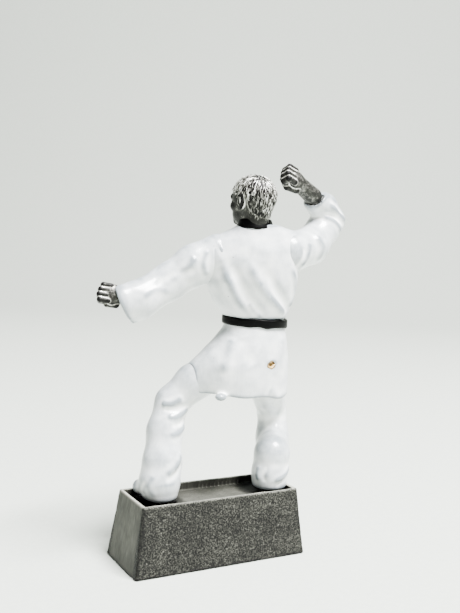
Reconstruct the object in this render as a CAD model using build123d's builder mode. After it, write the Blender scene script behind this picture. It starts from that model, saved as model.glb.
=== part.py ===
"""Figure trophy: a cast resin martial artist in a low guard on a tapered resin block.

Millimetres, +Z up. The origin is the centre of the block's underside, on the shelf. The figure
faces -Y, so +X is its left. Every casting is glued to its neighbour over a steel dowel, and two
threaded rods hold the feet to the block.
"""

import math
import os

from build123d import *

# --- block ------------------------------------------------------------------------------
BASE_LENGTH, BASE_WIDTH = 86.0, 34.4
TOP_LENGTH, TOP_WIDTH = 78.4, 27.8
BASE_HEIGHT = 31.0
BASE_LIFT = 0.4  # the felt stands this far proud of the block's underside
FELT_THICK, FELT_INSET, FELT_CORNER, FELT_GAP = 1.0, 2.5, 2.0, 0.4
RIM_WIDTH, TRAY_DEPTH = 1.6, 3.6
TRAY_FLOOR = BASE_HEIGHT - TRAY_DEPTH
EDGE_RADIUS = 1.6

PLATE_LENGTH, PLATE_HEIGHT, PLATE_THICK = 58.0, 17.0, 0.8
PLATE_CORNER, PLATE_BEVEL, PLATE_GAP = 1.0, 0.25, 0.6
TAPE_THICK, TAPE_INSET = 0.3, 2.0

# --- fixings ----------------------------------------------------------------------------
ROD_RADIUS, ROD_HOLE, ROD_BEVEL, ROD_PAST_NUT = 1.5, 1.6, 0.4, 1.5
LEFT_ROD_TOP, RIGHT_ROD_TOP = 56.0, 42.0
NUT_ACROSS, NUT_HEIGHT = 5.5, 2.4
WASHER_RADIUS, WASHER_THICK = 3.5, 0.5
COUNTERBORE_RADIUS, COUNTERBORE_TOP = 4.0, 8.0
PIN_RADIUS, PIN_HOLE, PIN_END_GAP = 1.0, 1.05, 0.5

# --- figure: centres of the joints between castings ---------------------------------------
TORSO_TURN = 12.0  # the upper body turns this far towards the figure's right, in degrees
WAIST = Vector(-19.4, 0, 109.2)
BELT_HEIGHT = 4.2
BELT_RADII, WAIST_RADII, CORE_RADII = (15.0, 11.4), (14.4, 10.8), (13.0, 9.4)
NECK_BASE, NECK_TILT = Vector(-17.6, 1.0, 153.4), 6.0
NECK_RADIUS, NECK_SOCKET, NECK_LENGTH = 4.9, 4.5, 14.0
COLLAR_BELOW, COLLAR_ABOVE = 1.5, 3.2
COLLAR_FOOT_RADII, COLLAR_TOP_RADII, COLLAR_BORE = (8.8, 8.0), (6.4, 6.2), 5.4
KNOT_BACK_RADII, KNOT_FACE_RADII, KNOT_DEPTH, KNOT_SINK = (4.2, 2.9), (2.8, 1.9), 3.8, 0.6
TAIL_WIDTH, TAIL_THICK = 4.2, 1.3
TAIL_LINE = ((2.2, -1.6, 1.6), (4.6, -11.0, 3.6), (6.2, -21.0, 5.0))  # outwards, up, away from the knot

LEFT_SHOULDER, RIGHT_SHOULDER = Vector(2.4, -4.2, 139.6), Vector(-37.4, 3.8, 142.4)
LEFT_ELBOW, RIGHT_ELBOW = Vector(21.6, -8.5, 127.4), Vector(-60.8, -3.0, 157.2)
LEFT_WRIST, RIGHT_WRIST = Vector(43.9, -7.5, 119.8), Vector(-46.5, 0.8, 168.6)
LEFT_FIST, RIGHT_FIST = Vector(49.6, -8.2, 121.2), Vector(-33.4, 2.6, 176.4)

LEFT_HIP, RIGHT_HIP = Vector(4.4, -4.5, 84.6), Vector(-29.0, -3.0, 75.5)
LEFT_KNEE, RIGHT_KNEE = Vector(17.2, -9.6, 71.6), Vector(-40.2, -15.0, 58.6)
LEFT_ANKLE, RIGHT_ANKLE = Vector(24.0, 1.0, 34.0), Vector(-29.8, 1.8, 34.0)
LEFT_TOE_ANGLE, RIGHT_TOE_ANGLE = -54.0, -104.0  # where each foot points, from +X, in degrees
FOOT_LENGTH, FOOT_WIDTH, FOOT_HEIGHT, HEEL_BEHIND_ANKLE = 19.6, 8.4, 5.0, 5.6
HEM_HEIGHT, HEM_CURL = 29.4, 5.0
JOINT_PROUD = 0.3  # the round of a bent knee or elbow stands this far out of the limb
SKIRT_HEM = 75.6

HEAD_CENTRE = Vector(-15.4, 0.0, 166.0)
HEAD_TURN = 16.0


def toward(start, end):
    """Unit vector from one point to another."""
    return (end - start).normalized()


def level(centre, angle, height):
    """A horizontal plane over centre, with its X axis turned by angle degrees about +Z."""
    turn = math.radians(angle)
    x_dir = (math.cos(turn), math.sin(turn), 0)
    return Plane((centre.X, centre.Y, height), x_dir=x_dir, z_dir=(0, 0, 1))


def square_to(centre, direction, x_hint):
    """The plane of a limb's cross-section, with its X axis as near x_hint as the plane allows."""
    along = Vector(*direction).normalized()
    hint = Vector(*x_hint)
    return Plane(centre, x_dir=hint - along * along.dot(hint), z_dir=along)


def make_dowel(start, direction, length, radius):
    """A plain rod: the pins are made with it, and so are the holes that they sit in."""
    with BuildPart() as rod:
        with BuildSketch(Plane(start, z_dir=direction)):
            Circle(radius)
        extrude(amount=length)
    return rod.part


def write(piece, name):
    """Labels one finished piece and writes it as parts/name.step."""
    piece.label = name
    export_step(piece, f"parts/{name}.step")


os.makedirs("parts", exist_ok=True)

# --- pins: steel dowels inside the glue joints --------------------------------------------
LEFT_UPPER_ARM = toward(LEFT_SHOULDER, LEFT_ELBOW)
LEFT_ARMHOLE = Vector(0.97, -0.2, -0.12).normalized()  # steeper than the arm that hangs from it
RIGHT_ARMHOLE = toward(RIGHT_SHOULDER, RIGHT_ELBOW)
LEFT_CUFF = toward(LEFT_ELBOW, LEFT_WRIST)
RIGHT_CUFF = toward(RIGHT_ELBOW, RIGHT_WRIST)
LEFT_THIGH = toward(LEFT_HIP, LEFT_KNEE)
RIGHT_THIGH = toward(RIGHT_HIP, RIGHT_KNEE)
UP = Vector(0, 0, 1)
NECK_UP = UP.rotate(Axis.X, NECK_TILT)
BELT_LOW, BELT_HIGH = WAIST.Z - BELT_HEIGHT / 2, WAIST.Z + BELT_HEIGHT / 2
PINS = {  # name: (middle of the joint, direction of the pin, half its length)
    "neck_pin": (NECK_BASE - NECK_UP * NECK_SOCKET, NECK_UP, 5.0),
    "waist_pin": (Vector(WAIST.X, WAIST.Y, BELT_HIGH), UP, 8.0),
    "left_shoulder_pin": (LEFT_SHOULDER, LEFT_ARMHOLE, 6.0),
    "right_shoulder_pin": (RIGHT_SHOULDER, RIGHT_ARMHOLE, 6.0),
    "left_wrist_pin": (LEFT_WRIST - LEFT_CUFF * 2.6, LEFT_CUFF, 4.0),
    "right_wrist_pin": (RIGHT_WRIST - RIGHT_CUFF * 4.0, RIGHT_CUFF, 4.0),
    "left_hip_pin": (LEFT_HIP, LEFT_THIGH, 6.0),
    "right_hip_pin": (RIGHT_HIP, RIGHT_THIGH, 6.0),
}
pin_holes = {}
for name, (middle, direction, half_length) in PINS.items():
    pin = make_dowel(middle - direction * half_length, direction, 2 * half_length, PIN_RADIUS)
    write(pin, name)
    reach = half_length + PIN_END_GAP
    pin_holes[name] = make_dowel(middle - direction * reach, direction, 2 * reach, PIN_HOLE)

# --- block: a tapered casting with a sunk top that the feet stand in ----------------------
FACE_TILT = math.atan2((BASE_WIDTH - TOP_WIDTH) / 2, BASE_HEIGHT - BASE_LIFT)
front_face = Plane(
    (0, -(BASE_WIDTH + TOP_WIDTH) / 4, (BASE_HEIGHT + BASE_LIFT) / 2),
    x_dir=(1, 0, 0),
    z_dir=(0, -math.cos(FACE_TILT), math.sin(FACE_TILT)),
)
rod_places = [(LEFT_ANKLE.X, LEFT_ANKLE.Y), (RIGHT_ANKLE.X, RIGHT_ANKLE.Y)]

with BuildPart() as block:
    with BuildSketch(Plane.XY.offset(BASE_LIFT)):
        Rectangle(BASE_LENGTH, BASE_WIDTH)
    with BuildSketch(Plane.XY.offset(BASE_HEIGHT)):
        Rectangle(TOP_LENGTH, TOP_WIDTH)
    loft()
    uprights = block.edges().filter_by(lambda edge: abs((edge @ 1).Z - (edge @ 0).Z) > TRAY_FLOOR)
    fillet(uprights, EDGE_RADIUS)
    with BuildSketch(Plane.XY.offset(BASE_HEIGHT)):
        RectangleRounded(TOP_LENGTH - 2 * RIM_WIDTH, TOP_WIDTH - 2 * RIM_WIDTH, EDGE_RADIUS)
    extrude(amount=-TRAY_DEPTH, mode=Mode.SUBTRACT)
    with BuildSketch(Plane.XY.offset(BASE_LIFT)):
        RectangleRounded(BASE_LENGTH - 2 * FELT_INSET, BASE_WIDTH - 2 * FELT_INSET, FELT_CORNER)
    extrude(amount=FELT_THICK - BASE_LIFT, mode=Mode.SUBTRACT)
    with BuildSketch(front_face):
        RectangleRounded(PLATE_LENGTH + PLATE_GAP, PLATE_HEIGHT + PLATE_GAP, PLATE_CORNER)
    extrude(amount=-(PLATE_THICK + TAPE_THICK), mode=Mode.SUBTRACT)
    with BuildSketch(Plane.XY):
        with Locations(rod_places):
            Circle(ROD_HOLE)
    extrude(amount=BASE_HEIGHT, mode=Mode.SUBTRACT)
    with BuildSketch(Plane.XY):
        with Locations(rod_places):
            Circle(COUNTERBORE_RADIUS)
    extrude(amount=COUNTERBORE_TOP, mode=Mode.SUBTRACT)
write(block.part, "base_block")

with BuildPart() as felt:
    with BuildSketch(Plane.XY):
        felt_cut = 2 * FELT_INSET + FELT_GAP
        RectangleRounded(BASE_LENGTH - felt_cut, BASE_WIDTH - felt_cut, FELT_CORNER)
    extrude(amount=FELT_THICK)
write(felt.part, "base_felt")

with BuildPart() as tape:
    with BuildSketch(front_face.offset(-(PLATE_THICK + TAPE_THICK))):
        Rectangle(PLATE_LENGTH - 2 * TAPE_INSET, PLATE_HEIGHT - 2 * TAPE_INSET)
    extrude(amount=TAPE_THICK)
write(tape.part, "plate_tape")

with BuildPart() as plate:
    with BuildSketch(front_face.offset(-PLATE_THICK)):
        RectangleRounded(PLATE_LENGTH, PLATE_HEIGHT, PLATE_CORNER)
    extrude(amount=PLATE_THICK)
    outer_face = plate.faces().sort_by(Axis.Y)[0]
    chamfer(outer_face.edges(), PLATE_BEVEL)
write(plate.part, "name_plate")

# --- rods, washers and nuts: they clamp the feet and legs to the block ---------------------
WASHER_Z = COUNTERBORE_TOP - WASHER_THICK
NUT_Z = WASHER_Z - NUT_HEIGHT
ROD_FOOT = NUT_Z - ROD_PAST_NUT
rod_holes = {}
for side, ankle, top in (("left", LEFT_ANKLE, LEFT_ROD_TOP), ("right", RIGHT_ANKLE, RIGHT_ROD_TOP)):
    with BuildPart() as rod:
        with BuildSketch(Plane((ankle.X, ankle.Y, ROD_FOOT))):
            Circle(ROD_RADIUS)
        extrude(amount=top - ROD_FOOT)
        chamfer(rod.faces().filter_by(Plane.XY).edges(), ROD_BEVEL)
    write(rod.part, f"{side}_leg_rod")
    rod_holes[side] = make_dowel((ankle.X, ankle.Y, 0), UP, top + PIN_END_GAP, ROD_HOLE)

with BuildPart() as washers:
    with BuildSketch(Plane.XY.offset(WASHER_Z)):
        with Locations(rod_places):
            Circle(WASHER_RADIUS)
            Circle(ROD_HOLE, mode=Mode.SUBTRACT)
    extrude(amount=WASHER_THICK)
write(washers.part, "rod_washers")

with BuildPart() as nuts:
    with BuildSketch(Plane.XY.offset(NUT_Z)):
        with Locations(rod_places):
            RegularPolygon(NUT_ACROSS / 2, 6, major_radius=False)
            Circle(ROD_RADIUS, mode=Mode.SUBTRACT)
    extrude(amount=NUT_HEIGHT)
write(nuts.part, "rod_nuts")


# --- feet: bare, each with an ankle stub that goes up into its trouser leg --------------------
def make_foot(ankle, toe_angle, bore):
    """A sole that widens towards the toes, with an instep that narrows into the ankle stub."""
    heel, toe = -HEEL_BEHIND_ANKLE, FOOT_LENGTH - HEEL_BEHIND_ANKLE
    half_width, sole_thick = FOOT_WIDTH / 2, FOOT_HEIGHT / 2
    with BuildPart() as foot:
        with BuildSketch(level(ankle, toe_angle, TRAY_FLOOR)):
            with BuildLine():
                Spline(
                    (heel, 0),
                    (heel + 3, -0.72 * half_width),
                    (toe - 6, -half_width),
                    (toe, 0.2 * half_width),
                    (toe - 5, half_width),
                    (heel + 3, 0.72 * half_width),
                    periodic=True,
                )
            make_face()
        extrude(amount=sole_thick)
        with BuildSketch(level(ankle, toe_angle, TRAY_FLOOR + sole_thick)):
            with Locations((2, 0)):
                Ellipse(7, 0.68 * half_width)
        with BuildSketch(level(ankle, toe_angle, ankle.Z + 2)):
            Circle(0.72 * half_width)
        loft()
        add(bore, mode=Mode.SUBTRACT)
    return foot.part


left_foot = make_foot(LEFT_ANKLE, LEFT_TOE_ANGLE, rod_holes["left"])
right_foot = make_foot(RIGHT_ANKLE, RIGHT_TOE_ANGLE, rod_holes["right"])
write(left_foot, "left_foot")
write(right_foot, "right_foot")

# --- trouser legs: solid castings, wide at the thigh and again at the hem ---------------------
LEFT_HEM = Vector(LEFT_ANKLE.X + 1.4, LEFT_ANKLE.Y - 0.8, HEM_HEIGHT)
LEFT_LEG = (  # centre, direction, (radius front to back, radius side to side)
    (LEFT_HIP, LEFT_THIGH + Vector(0.3, 0.2, 0.1), (9.2, 10.0)),
    (LEFT_HIP + Vector(6.4, -2.6, -5.0), (0.8, -0.3, -0.6), (9.2, 9.8)),
    (LEFT_KNEE, (0.5, -0.1, -0.86), (8.8, 9.0)),
    (LEFT_KNEE + Vector(3.0, 2.4, -11), (0.22, 0.18, -0.96), (8.5, 8.7)),
    (LEFT_KNEE + Vector(6.0, 7.6, -25), (0.1, 0.2, -0.97), (8.9, 9.2)),
    (LEFT_HEM + UP * HEM_CURL, (0, 0, -1), (9.2, 9.6)),
    (LEFT_HEM, (0, 0, -1), (8.2, 8.6)),
)
with BuildPart() as left_leg:
    for middle, direction, (front_back, side_side) in LEFT_LEG:
        with BuildSketch(square_to(middle, direction, (0.3, 1, 0))):
            Ellipse(front_back, side_side)
    loft()
    for tool in (left_foot, pin_holes["left_hip_pin"], rod_holes["left"]):
        add(tool, mode=Mode.SUBTRACT)
write(left_leg.part, "left_leg")

KNEE_RADII = (7.3, 7.7)
RIGHT_HEM = Vector(RIGHT_ANKLE.X, RIGHT_ANKLE.Y, HEM_HEIGHT)
RIGHT_SHIN = toward(RIGHT_KNEE, RIGHT_ANKLE)
RIGHT_UPPER_LEG = (  # centre, direction, (radius side to side, radius front to back)
    (RIGHT_HIP, RIGHT_THIGH, (9.2, 11.2)),
    (RIGHT_KNEE, RIGHT_THIGH, KNEE_RADII),
)
RIGHT_LOWER_LEG = (
    (RIGHT_KNEE, RIGHT_SHIN, KNEE_RADII),
    (RIGHT_KNEE + RIGHT_SHIN * 14, RIGHT_SHIN, (7.4, 7.8)),
    (RIGHT_HEM + UP * HEM_CURL, (0.1, 0.1, -1), (9.0, 9.3)),
    (RIGHT_HEM, (0, 0, -1), (6.8, 7.0)),
)
with BuildPart() as right_leg:
    for length_of_leg in (RIGHT_UPPER_LEG, RIGHT_LOWER_LEG):
        for middle, direction, (side_side, front_back) in length_of_leg:
            with BuildSketch(square_to(middle, direction, (1, 0, 0))):
                Ellipse(side_side, front_back)
        loft()
    with Locations(RIGHT_KNEE):
        Sphere(KNEE_RADII[1] + JOINT_PROUD)
    for tool in (right_foot, pin_holes["right_hip_pin"], rod_holes["right"]):
        add(tool, mode=Mode.SUBTRACT)
write(right_leg.part, "right_leg")

# --- jacket skirt: from the belt down to the hem, with sockets for both thighs ----------------
SKIRT = (  # height, centre's shift from the waist, (radius side to side, radius front to back)
    (BELT_LOW, (0, 0), WAIST_RADII),
    (98.0, (2.8, 0), (19.4, 13.2)),
    (90.0, (4.8, 0), (22.0, 14.6)),
    (82.0, (4.6, 0), (21.9, 14.8)),
    (SKIRT_HEM, (4.2, 0), (21.4, 14.4)),
)
with BuildPart() as skirt:
    for height, shift, (side_side, front_back) in SKIRT:
        with BuildSketch(level(WAIST + Vector(*shift), -TORSO_TURN / 2, height)):
            Ellipse(side_side, front_back)
    loft()
    with BuildSketch(level(WAIST, -TORSO_TURN, BELT_LOW - 1)):
        Ellipse(*CORE_RADII)
    extrude(amount=BELT_HEIGHT + 1)
    for other in (left_leg.part, right_leg.part):
        add(other, mode=Mode.SUBTRACT)
    for name in ("left_hip_pin", "right_hip_pin", "waist_pin"):
        add(pin_holes[name], mode=Mode.SUBTRACT)
write(skirt.part, "jacket_skirt")

# --- head: skull, jaw, hair and neck in one casting ------------------------------------------
HEAD = (  # height over the head's centre, shift back, (radius side to side, front to back)
    (-12.0, -7.0, (2.6, 2.8)),
    (-9.4, -3.8, (6.0, 7.2)),
    (-4.0, -0.8, (7.8, 10.6)),
    (2.0, 0.2, (8.8, 11.6)),
    (6.5, 0.6, (7.8, 10.0)),
    (9.4, 0.8, (4.6, 6.4)),
    (10.4, 0.8, (1.2, 1.8)),
)
with BuildPart() as head:
    for height, back, (side_side, front_back) in HEAD:
        with BuildSketch(level(HEAD_CENTRE, HEAD_TURN, HEAD_CENTRE.Z + height)):
            with Locations((0, back)):
                Ellipse(side_side, front_back)
    loft()
    with BuildSketch(Plane(NECK_BASE - NECK_UP * NECK_SOCKET, z_dir=NECK_UP)):
        Circle(NECK_RADIUS)
    extrude(amount=NECK_LENGTH)
    add(pin_holes["neck_pin"], mode=Mode.SUBTRACT)
write(head.part, "head")

# --- jacket body: chest and back between the belt, the armholes and the neck ------------------
JACKET = (  # height, centre's shift from the waist, (radius side to side, radius front to back)
    (BELT_HIGH, (0, 0), WAIST_RADII),
    (118.0, (2.4, 0.2), (19.6, 12.8)),
    (128.0, (3.6, 0.4), (22.8, 13.8)),
    (138.0, (2.6, 0.6), (23.6, 13.0)),
    (148.0, (1.6, 0.8), (19.6, 10.8)),
    (154.0, (1.2, 1.0), (11.2, 8.2)),
)
with BuildPart() as jacket:
    for height, shift, (side_side, front_back) in JACKET:
        with BuildSketch(level(WAIST + Vector(*shift), -TORSO_TURN, height)):
            Ellipse(side_side, front_back)
    loft()
    split(bisect_by=Plane(LEFT_SHOULDER, z_dir=LEFT_ARMHOLE), keep=Keep.BOTTOM)
    split(bisect_by=Plane(RIGHT_SHOULDER, z_dir=RIGHT_ARMHOLE), keep=Keep.BOTTOM)
    add(head.part, mode=Mode.SUBTRACT)

# --- collar: the black band of the jacket, standing round the neck ----------------------------
with BuildPart() as collar:
    with BuildSketch(level(NECK_BASE, -TORSO_TURN, NECK_BASE.Z - COLLAR_BELOW)):
        Ellipse(*COLLAR_FOOT_RADII)
    with BuildSketch(level(NECK_BASE, -TORSO_TURN, NECK_BASE.Z + COLLAR_ABOVE)):
        Ellipse(*COLLAR_TOP_RADII)
    loft()
    with BuildSketch(level(NECK_BASE, -TORSO_TURN, NECK_BASE.Z - COLLAR_BELOW)):
        Circle(COLLAR_BORE)
    extrude(amount=COLLAR_BELOW + COLLAR_ABOVE, mode=Mode.SUBTRACT)
    add(head.part, mode=Mode.SUBTRACT)
write(collar.part, "collar_band")

with jacket:
    add(collar.part, mode=Mode.SUBTRACT)
    for name in ("left_shoulder_pin", "right_shoulder_pin", "waist_pin", "neck_pin"):
        add(pin_holes[name], mode=Mode.SUBTRACT)
write(jacket.part, "jacket_body")

# --- belt: band, knot and the two hanging ends ------------------------------------------------
waist_plane = level(WAIST, -TORSO_TURN, WAIST.Z)
with BuildPart() as belt:
    with BuildSketch(waist_plane.offset(-BELT_HEIGHT / 2)):
        Ellipse(*BELT_RADII)
        Ellipse(*CORE_RADII, mode=Mode.SUBTRACT)
    extrude(amount=BELT_HEIGHT)
write(belt.part, "belt_band")

knot_plane = Plane(
    waist_plane.from_local_coords(Vector(0, KNOT_SINK - BELT_RADII[1], 0)),
    x_dir=waist_plane.x_dir,
    z_dir=waist_plane.y_dir * -1,
)
with BuildPart() as knot:
    with BuildSketch(knot_plane):
        Ellipse(*KNOT_BACK_RADII)
    with BuildSketch(knot_plane.offset(KNOT_DEPTH)):
        Ellipse(*KNOT_FACE_RADII)
    loft()
    for other in (belt.part, skirt.part, jacket.part):
        add(other, mode=Mode.SUBTRACT)
write(knot.part, "belt_knot")

with BuildPart() as tails:
    for side in (-1, 1):
        places = [knot_plane.from_local_coords(Vector(side * x, y, z)) for x, y, z in TAIL_LINE]
        aims = (places[1] - places[0], places[2] - places[0], places[2] - places[1])
        for place, aim in zip(places, aims):
            with BuildSketch(square_to(place, aim, waist_plane.x_dir)):
                Rectangle(TAIL_WIDTH, TAIL_THICK)
        loft()
    for other in (knot.part, belt.part, skirt.part, left_leg.part, right_leg.part):
        add(other, mode=Mode.SUBTRACT)
write(tails.part, "belt_tails")

# --- fists: a forearm stub that goes up the sleeve, a wrist and a closed hand -------------------
ACROSS = Vector(0, 1, 0)


def make_fist(fist, wrist, cuff, stub_length, stub_radius, bore):
    """One closed hand on its forearm stub."""
    reach = toward(wrist, fist)
    stations = (
        (wrist - cuff * stub_length, cuff, (0.96 * stub_radius, stub_radius)),
        (wrist, cuff + reach, (2.9, 3.3)),
        (fist - reach * 2.5, reach, (3.2, 4.2)),
        (fist + reach * 1.0, reach, (4.2, 5.0)),
        (fist + reach * 4.2, reach, (3.4, 4.2)),
    )
    with BuildPart() as hand:
        for middle, direction, (front_back, side_side) in stations:
            with BuildSketch(square_to(middle, direction, ACROSS)):
                Ellipse(front_back, side_side)
        loft()
        add(bore, mode=Mode.SUBTRACT)
    return hand.part


left_fist = make_fist(LEFT_FIST, LEFT_WRIST, LEFT_CUFF, 3.2, 3.4, pin_holes["left_wrist_pin"])
right_fist = make_fist(RIGHT_FIST, RIGHT_WRIST, RIGHT_CUFF, 6.0, 4.2, pin_holes["right_wrist_pin"])
write(left_fist, "left_fist")
write(right_fist, "right_fist")

# --- sleeves: wide at the armhole, with the cuff hanging open below the wrist -------------------
LEFT_SLEEVE = (  # centre, direction, (radius front to back, radius up and down)
    (LEFT_SHOULDER + Vector(0, 0, -0.6), LEFT_ARMHOLE, (8.6, 11.0)),
    (LEFT_SHOULDER + Vector(9.5, -2, -6.0), LEFT_UPPER_ARM, (8.0, 9.0)),
    (LEFT_ELBOW + Vector(0, 0, -0.6), LEFT_CUFF + LEFT_UPPER_ARM, (7.4, 8.8)),
    (LEFT_WRIST + Vector(-8, 0, -1.6), LEFT_CUFF, (6.6, 8.8)),
    (LEFT_WRIST + Vector(-1.8, 0, -2.8), LEFT_CUFF, (5.6, 8.4)),
)
with BuildPart() as left_sleeve:
    for middle, direction, (front_back, up_down) in LEFT_SLEEVE:
        with BuildSketch(square_to(middle, direction, ACROSS)):
            Ellipse(front_back, up_down)
    loft()
    for tool in (left_fist, pin_holes["left_shoulder_pin"], pin_holes["left_wrist_pin"]):
        add(tool, mode=Mode.SUBTRACT)
write(left_sleeve.part, "left_sleeve")

ELBOW_RADII = (6.7, 7.1)
RIGHT_UPPER_ARM = (  # centre, direction, (radius front to back, radius across)
    (RIGHT_SHOULDER, RIGHT_ARMHOLE, (8.8, 11.0)),
    (RIGHT_SHOULDER + RIGHT_ARMHOLE * 12, RIGHT_ARMHOLE, (8.2, 9.6)),
    (RIGHT_ELBOW, RIGHT_ARMHOLE, ELBOW_RADII),
)
RIGHT_FOREARM = (
    (RIGHT_ELBOW, RIGHT_CUFF, ELBOW_RADII),
    (RIGHT_ELBOW + RIGHT_CUFF * 7, RIGHT_CUFF, (6.6, 6.9)),
    (RIGHT_WRIST - RIGHT_CUFF * 5, RIGHT_CUFF, (5.6, 5.8)),
)
with BuildPart() as right_sleeve:
    for length_of_arm in (RIGHT_UPPER_ARM, RIGHT_FOREARM):
        for middle, direction, (front_back, across) in length_of_arm:
            with BuildSketch(square_to(middle, direction, ACROSS)):
                Ellipse(front_back, across)
        loft()
    with Locations(RIGHT_ELBOW):
        Sphere(ELBOW_RADII[1] + JOINT_PROUD)
    for tool in (right_fist, pin_holes["right_shoulder_pin"], pin_holes["right_wrist_pin"]):
        add(tool, mode=Mode.SUBTRACT)
write(right_sleeve.part, "right_sleeve")
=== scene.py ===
"""Figure trophy: the looks of a cast resin martial artist on an antique silver block.

Sculpting is done in millimetres, in the frame's own axes: +Z up, the figure faces -Y, its left is +X.
Meshes are handed over in metres.
"""
import math

import bpy
import numpy as np
import openvdb
from mathutils import Matrix, Vector


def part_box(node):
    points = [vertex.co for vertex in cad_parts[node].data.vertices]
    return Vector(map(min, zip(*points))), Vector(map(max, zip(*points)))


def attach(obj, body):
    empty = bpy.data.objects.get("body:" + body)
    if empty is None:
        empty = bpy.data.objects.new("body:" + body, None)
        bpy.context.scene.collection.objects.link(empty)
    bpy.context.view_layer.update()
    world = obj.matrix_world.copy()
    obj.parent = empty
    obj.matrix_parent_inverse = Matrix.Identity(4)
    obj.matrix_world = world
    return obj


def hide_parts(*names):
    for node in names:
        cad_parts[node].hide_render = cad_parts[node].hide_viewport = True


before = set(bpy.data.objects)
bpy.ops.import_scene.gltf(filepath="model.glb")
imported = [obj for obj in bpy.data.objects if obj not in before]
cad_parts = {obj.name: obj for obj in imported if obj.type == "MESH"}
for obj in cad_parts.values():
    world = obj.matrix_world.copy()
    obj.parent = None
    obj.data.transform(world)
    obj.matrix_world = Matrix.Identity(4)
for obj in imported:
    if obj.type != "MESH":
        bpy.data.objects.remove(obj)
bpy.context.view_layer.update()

# ---------------------------------------------------------------- the block
# A tapered resin casting, sprayed pewter and rubbed back: the black wash stays in the pits of
# its rough long faces and in the sunk tray, and the raised rim is worn bright. The tray walls are
# darkened a little more, and a painted shadow lies on the tray floor round each foot. The
# figure's feet are bolted into the tray.

BLOCK_VOXEL = 0.42


def centre(node):
    """The middle of a CAD node's box, in millimetres."""
    low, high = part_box(node)
    return np.array((low + high) / 2) * 1000


def corners(node):
    low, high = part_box(node)
    return np.array(low) * 1000, np.array(high) * 1000


def vec(*xyz):
    return np.array(xyz, np.float32)


def noise(points, size, seed):
    """Smooth value noise from -1 to 1, with lumps about size millimetres across."""
    count = 32
    lattice = np.random.default_rng(seed).uniform(-1, 1, (count, count, count)).astype(np.float32)
    cell = points / size
    whole = np.floor(cell).astype(int)
    part = cell - whole
    part = part * part * (3 - 2 * part)
    total = 0
    for i in (0, 1):
        for j in (0, 1):
            for k in (0, 1):
                weight = (
                    (part[:, 0] if i else 1 - part[:, 0])
                    * (part[:, 1] if j else 1 - part[:, 1])
                    * (part[:, 2] if k else 1 - part[:, 2])
                )
                at = (whole + (i, j, k)) % count
                total = total + weight * lattice[at[:, 0], at[:, 1], at[:, 2]]
    return total


def melt(a, b, k):
    """Joins two distances, with a fillet of about k millimetres."""
    h = np.clip(0.5 + 0.5 * (b - a) / k, 0, 1)
    return b + (a - b) * h - k * h * (1 - h)


def carve(a, b, k):
    """Cuts shape b out of shape a, with an edge rounded by about k millimetres."""
    return -melt(-a, b, k)


def keep(a, b, k):
    """What shapes a and b have in common, with an edge rounded by about k millimetres."""
    return -melt(-a, -b, k)


def block_box(p, size, centre_z, taper):
    """A box with a rounded edge, whose sides lean in by taper for each millimetre of height."""
    half = np.array(size) / 2
    lean = (p[:, 2] - (centre_z - half[2]))[:, None] * np.array(taper)
    over = np.abs(p[:, :2]) - (half[:2] - lean)
    side = np.hypot(*np.maximum(over, 0).T) + np.minimum(over.max(1), 0)
    return np.maximum(side, np.abs(p[:, 2] - centre_z) - half[2])


def sculpt(name, low, high, voxel, field):
    """Meshes the surface where field is zero. Returns the object, with its mesh in metres."""
    low, high = np.array(low, float), np.array(high, float)
    counts = np.ceil((high - low) / voxel).astype(int) + 1
    axes = [low[i] + voxel * np.arange(counts[i]) for i in range(3)]
    grid = np.stack(np.meshgrid(*axes, indexing="ij"), -1).reshape(-1, 3).astype(np.float32)
    values = field(grid).reshape(counts).astype(np.float32)
    volume = openvdb.FloatGrid(background=3.0)
    volume.copyFromArray(values)
    points, quads = volume.convertToQuads(isovalue=0.0)
    mesh = bpy.data.meshes.new(name)
    mesh.from_pydata(((points * voxel + low) / 1000).tolist(), [], quads[:, ::-1].tolist())
    mesh.polygons.foreach_set("use_smooth", np.ones(len(mesh.polygons), bool))
    mesh.update()
    piece = bpy.data.objects.new(name, mesh)
    bpy.context.scene.collection.objects.link(piece)
    return piece


def read_points(piece):
    """A piece's points and normals, the points in millimetres."""
    mesh = piece.data
    points = np.empty(len(mesh.vertices) * 3, np.float32)
    mesh.vertices.foreach_get("co", points)
    normals = np.empty(len(mesh.vertices) * 3, np.float32)
    mesh.vertex_normals.foreach_get("vector", normals)
    return points.reshape(-1, 3) * 1000, normals.reshape(-1, 3)


def relief(piece, rounds):
    """How far each point stands over its surroundings, in millimetres: hollows are below zero."""
    mesh = piece.data
    edges = np.empty(len(mesh.edges) * 2, np.int32)
    mesh.edges.foreach_get("vertices", edges)
    a, b = edges.reshape(-1, 2).T
    count = len(mesh.vertices)
    links = np.bincount(a, minlength=count) + np.bincount(b, minlength=count)
    points, normals = read_points(piece)
    smooth = points.astype(float)
    for _ in range(rounds):
        total = np.empty_like(smooth)
        for axis in range(3):
            total[:, axis] = np.bincount(a, smooth[b, axis], count) + np.bincount(b, smooth[a, axis], count)
        smooth = 0.5 * smooth + 0.5 * total / np.maximum(links, 1)[:, None]
    return ((points - smooth) * normals).sum(1)


def mark(piece, name, values):
    """Stores one number for each point, for the piece's material to read."""
    layers = piece.data.attributes
    layer = layers.get(name) or layers.new(name, "FLOAT", "POINT")
    layer.data.foreach_set("value", np.asarray(values, np.float32))


def srgb(code):
    """A hex colour as the linear RGBA that shader sockets take."""
    parts = [int(code[i:i + 2], 16) / 255 for i in (1, 3, 5)]
    return tuple(c / 12.92 if c <= 0.04045 else ((c + 0.055) / 1.055) ** 2.4 for c in parts) + (1.0,)


def add_node(tree, kind, settings=None, inputs=None):
    """Adds one node. A value in inputs is either a constant or a socket to link from."""
    node = tree.nodes.new(kind)
    for key, value in (settings or {}).items():
        setattr(node, key, value)
    for key, value in (inputs or {}).items():
        if isinstance(value, bpy.types.NodeSocket):
            tree.links.new(value, node.inputs[key])
        else:
            node.inputs[key].default_value = value
    return node


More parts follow.
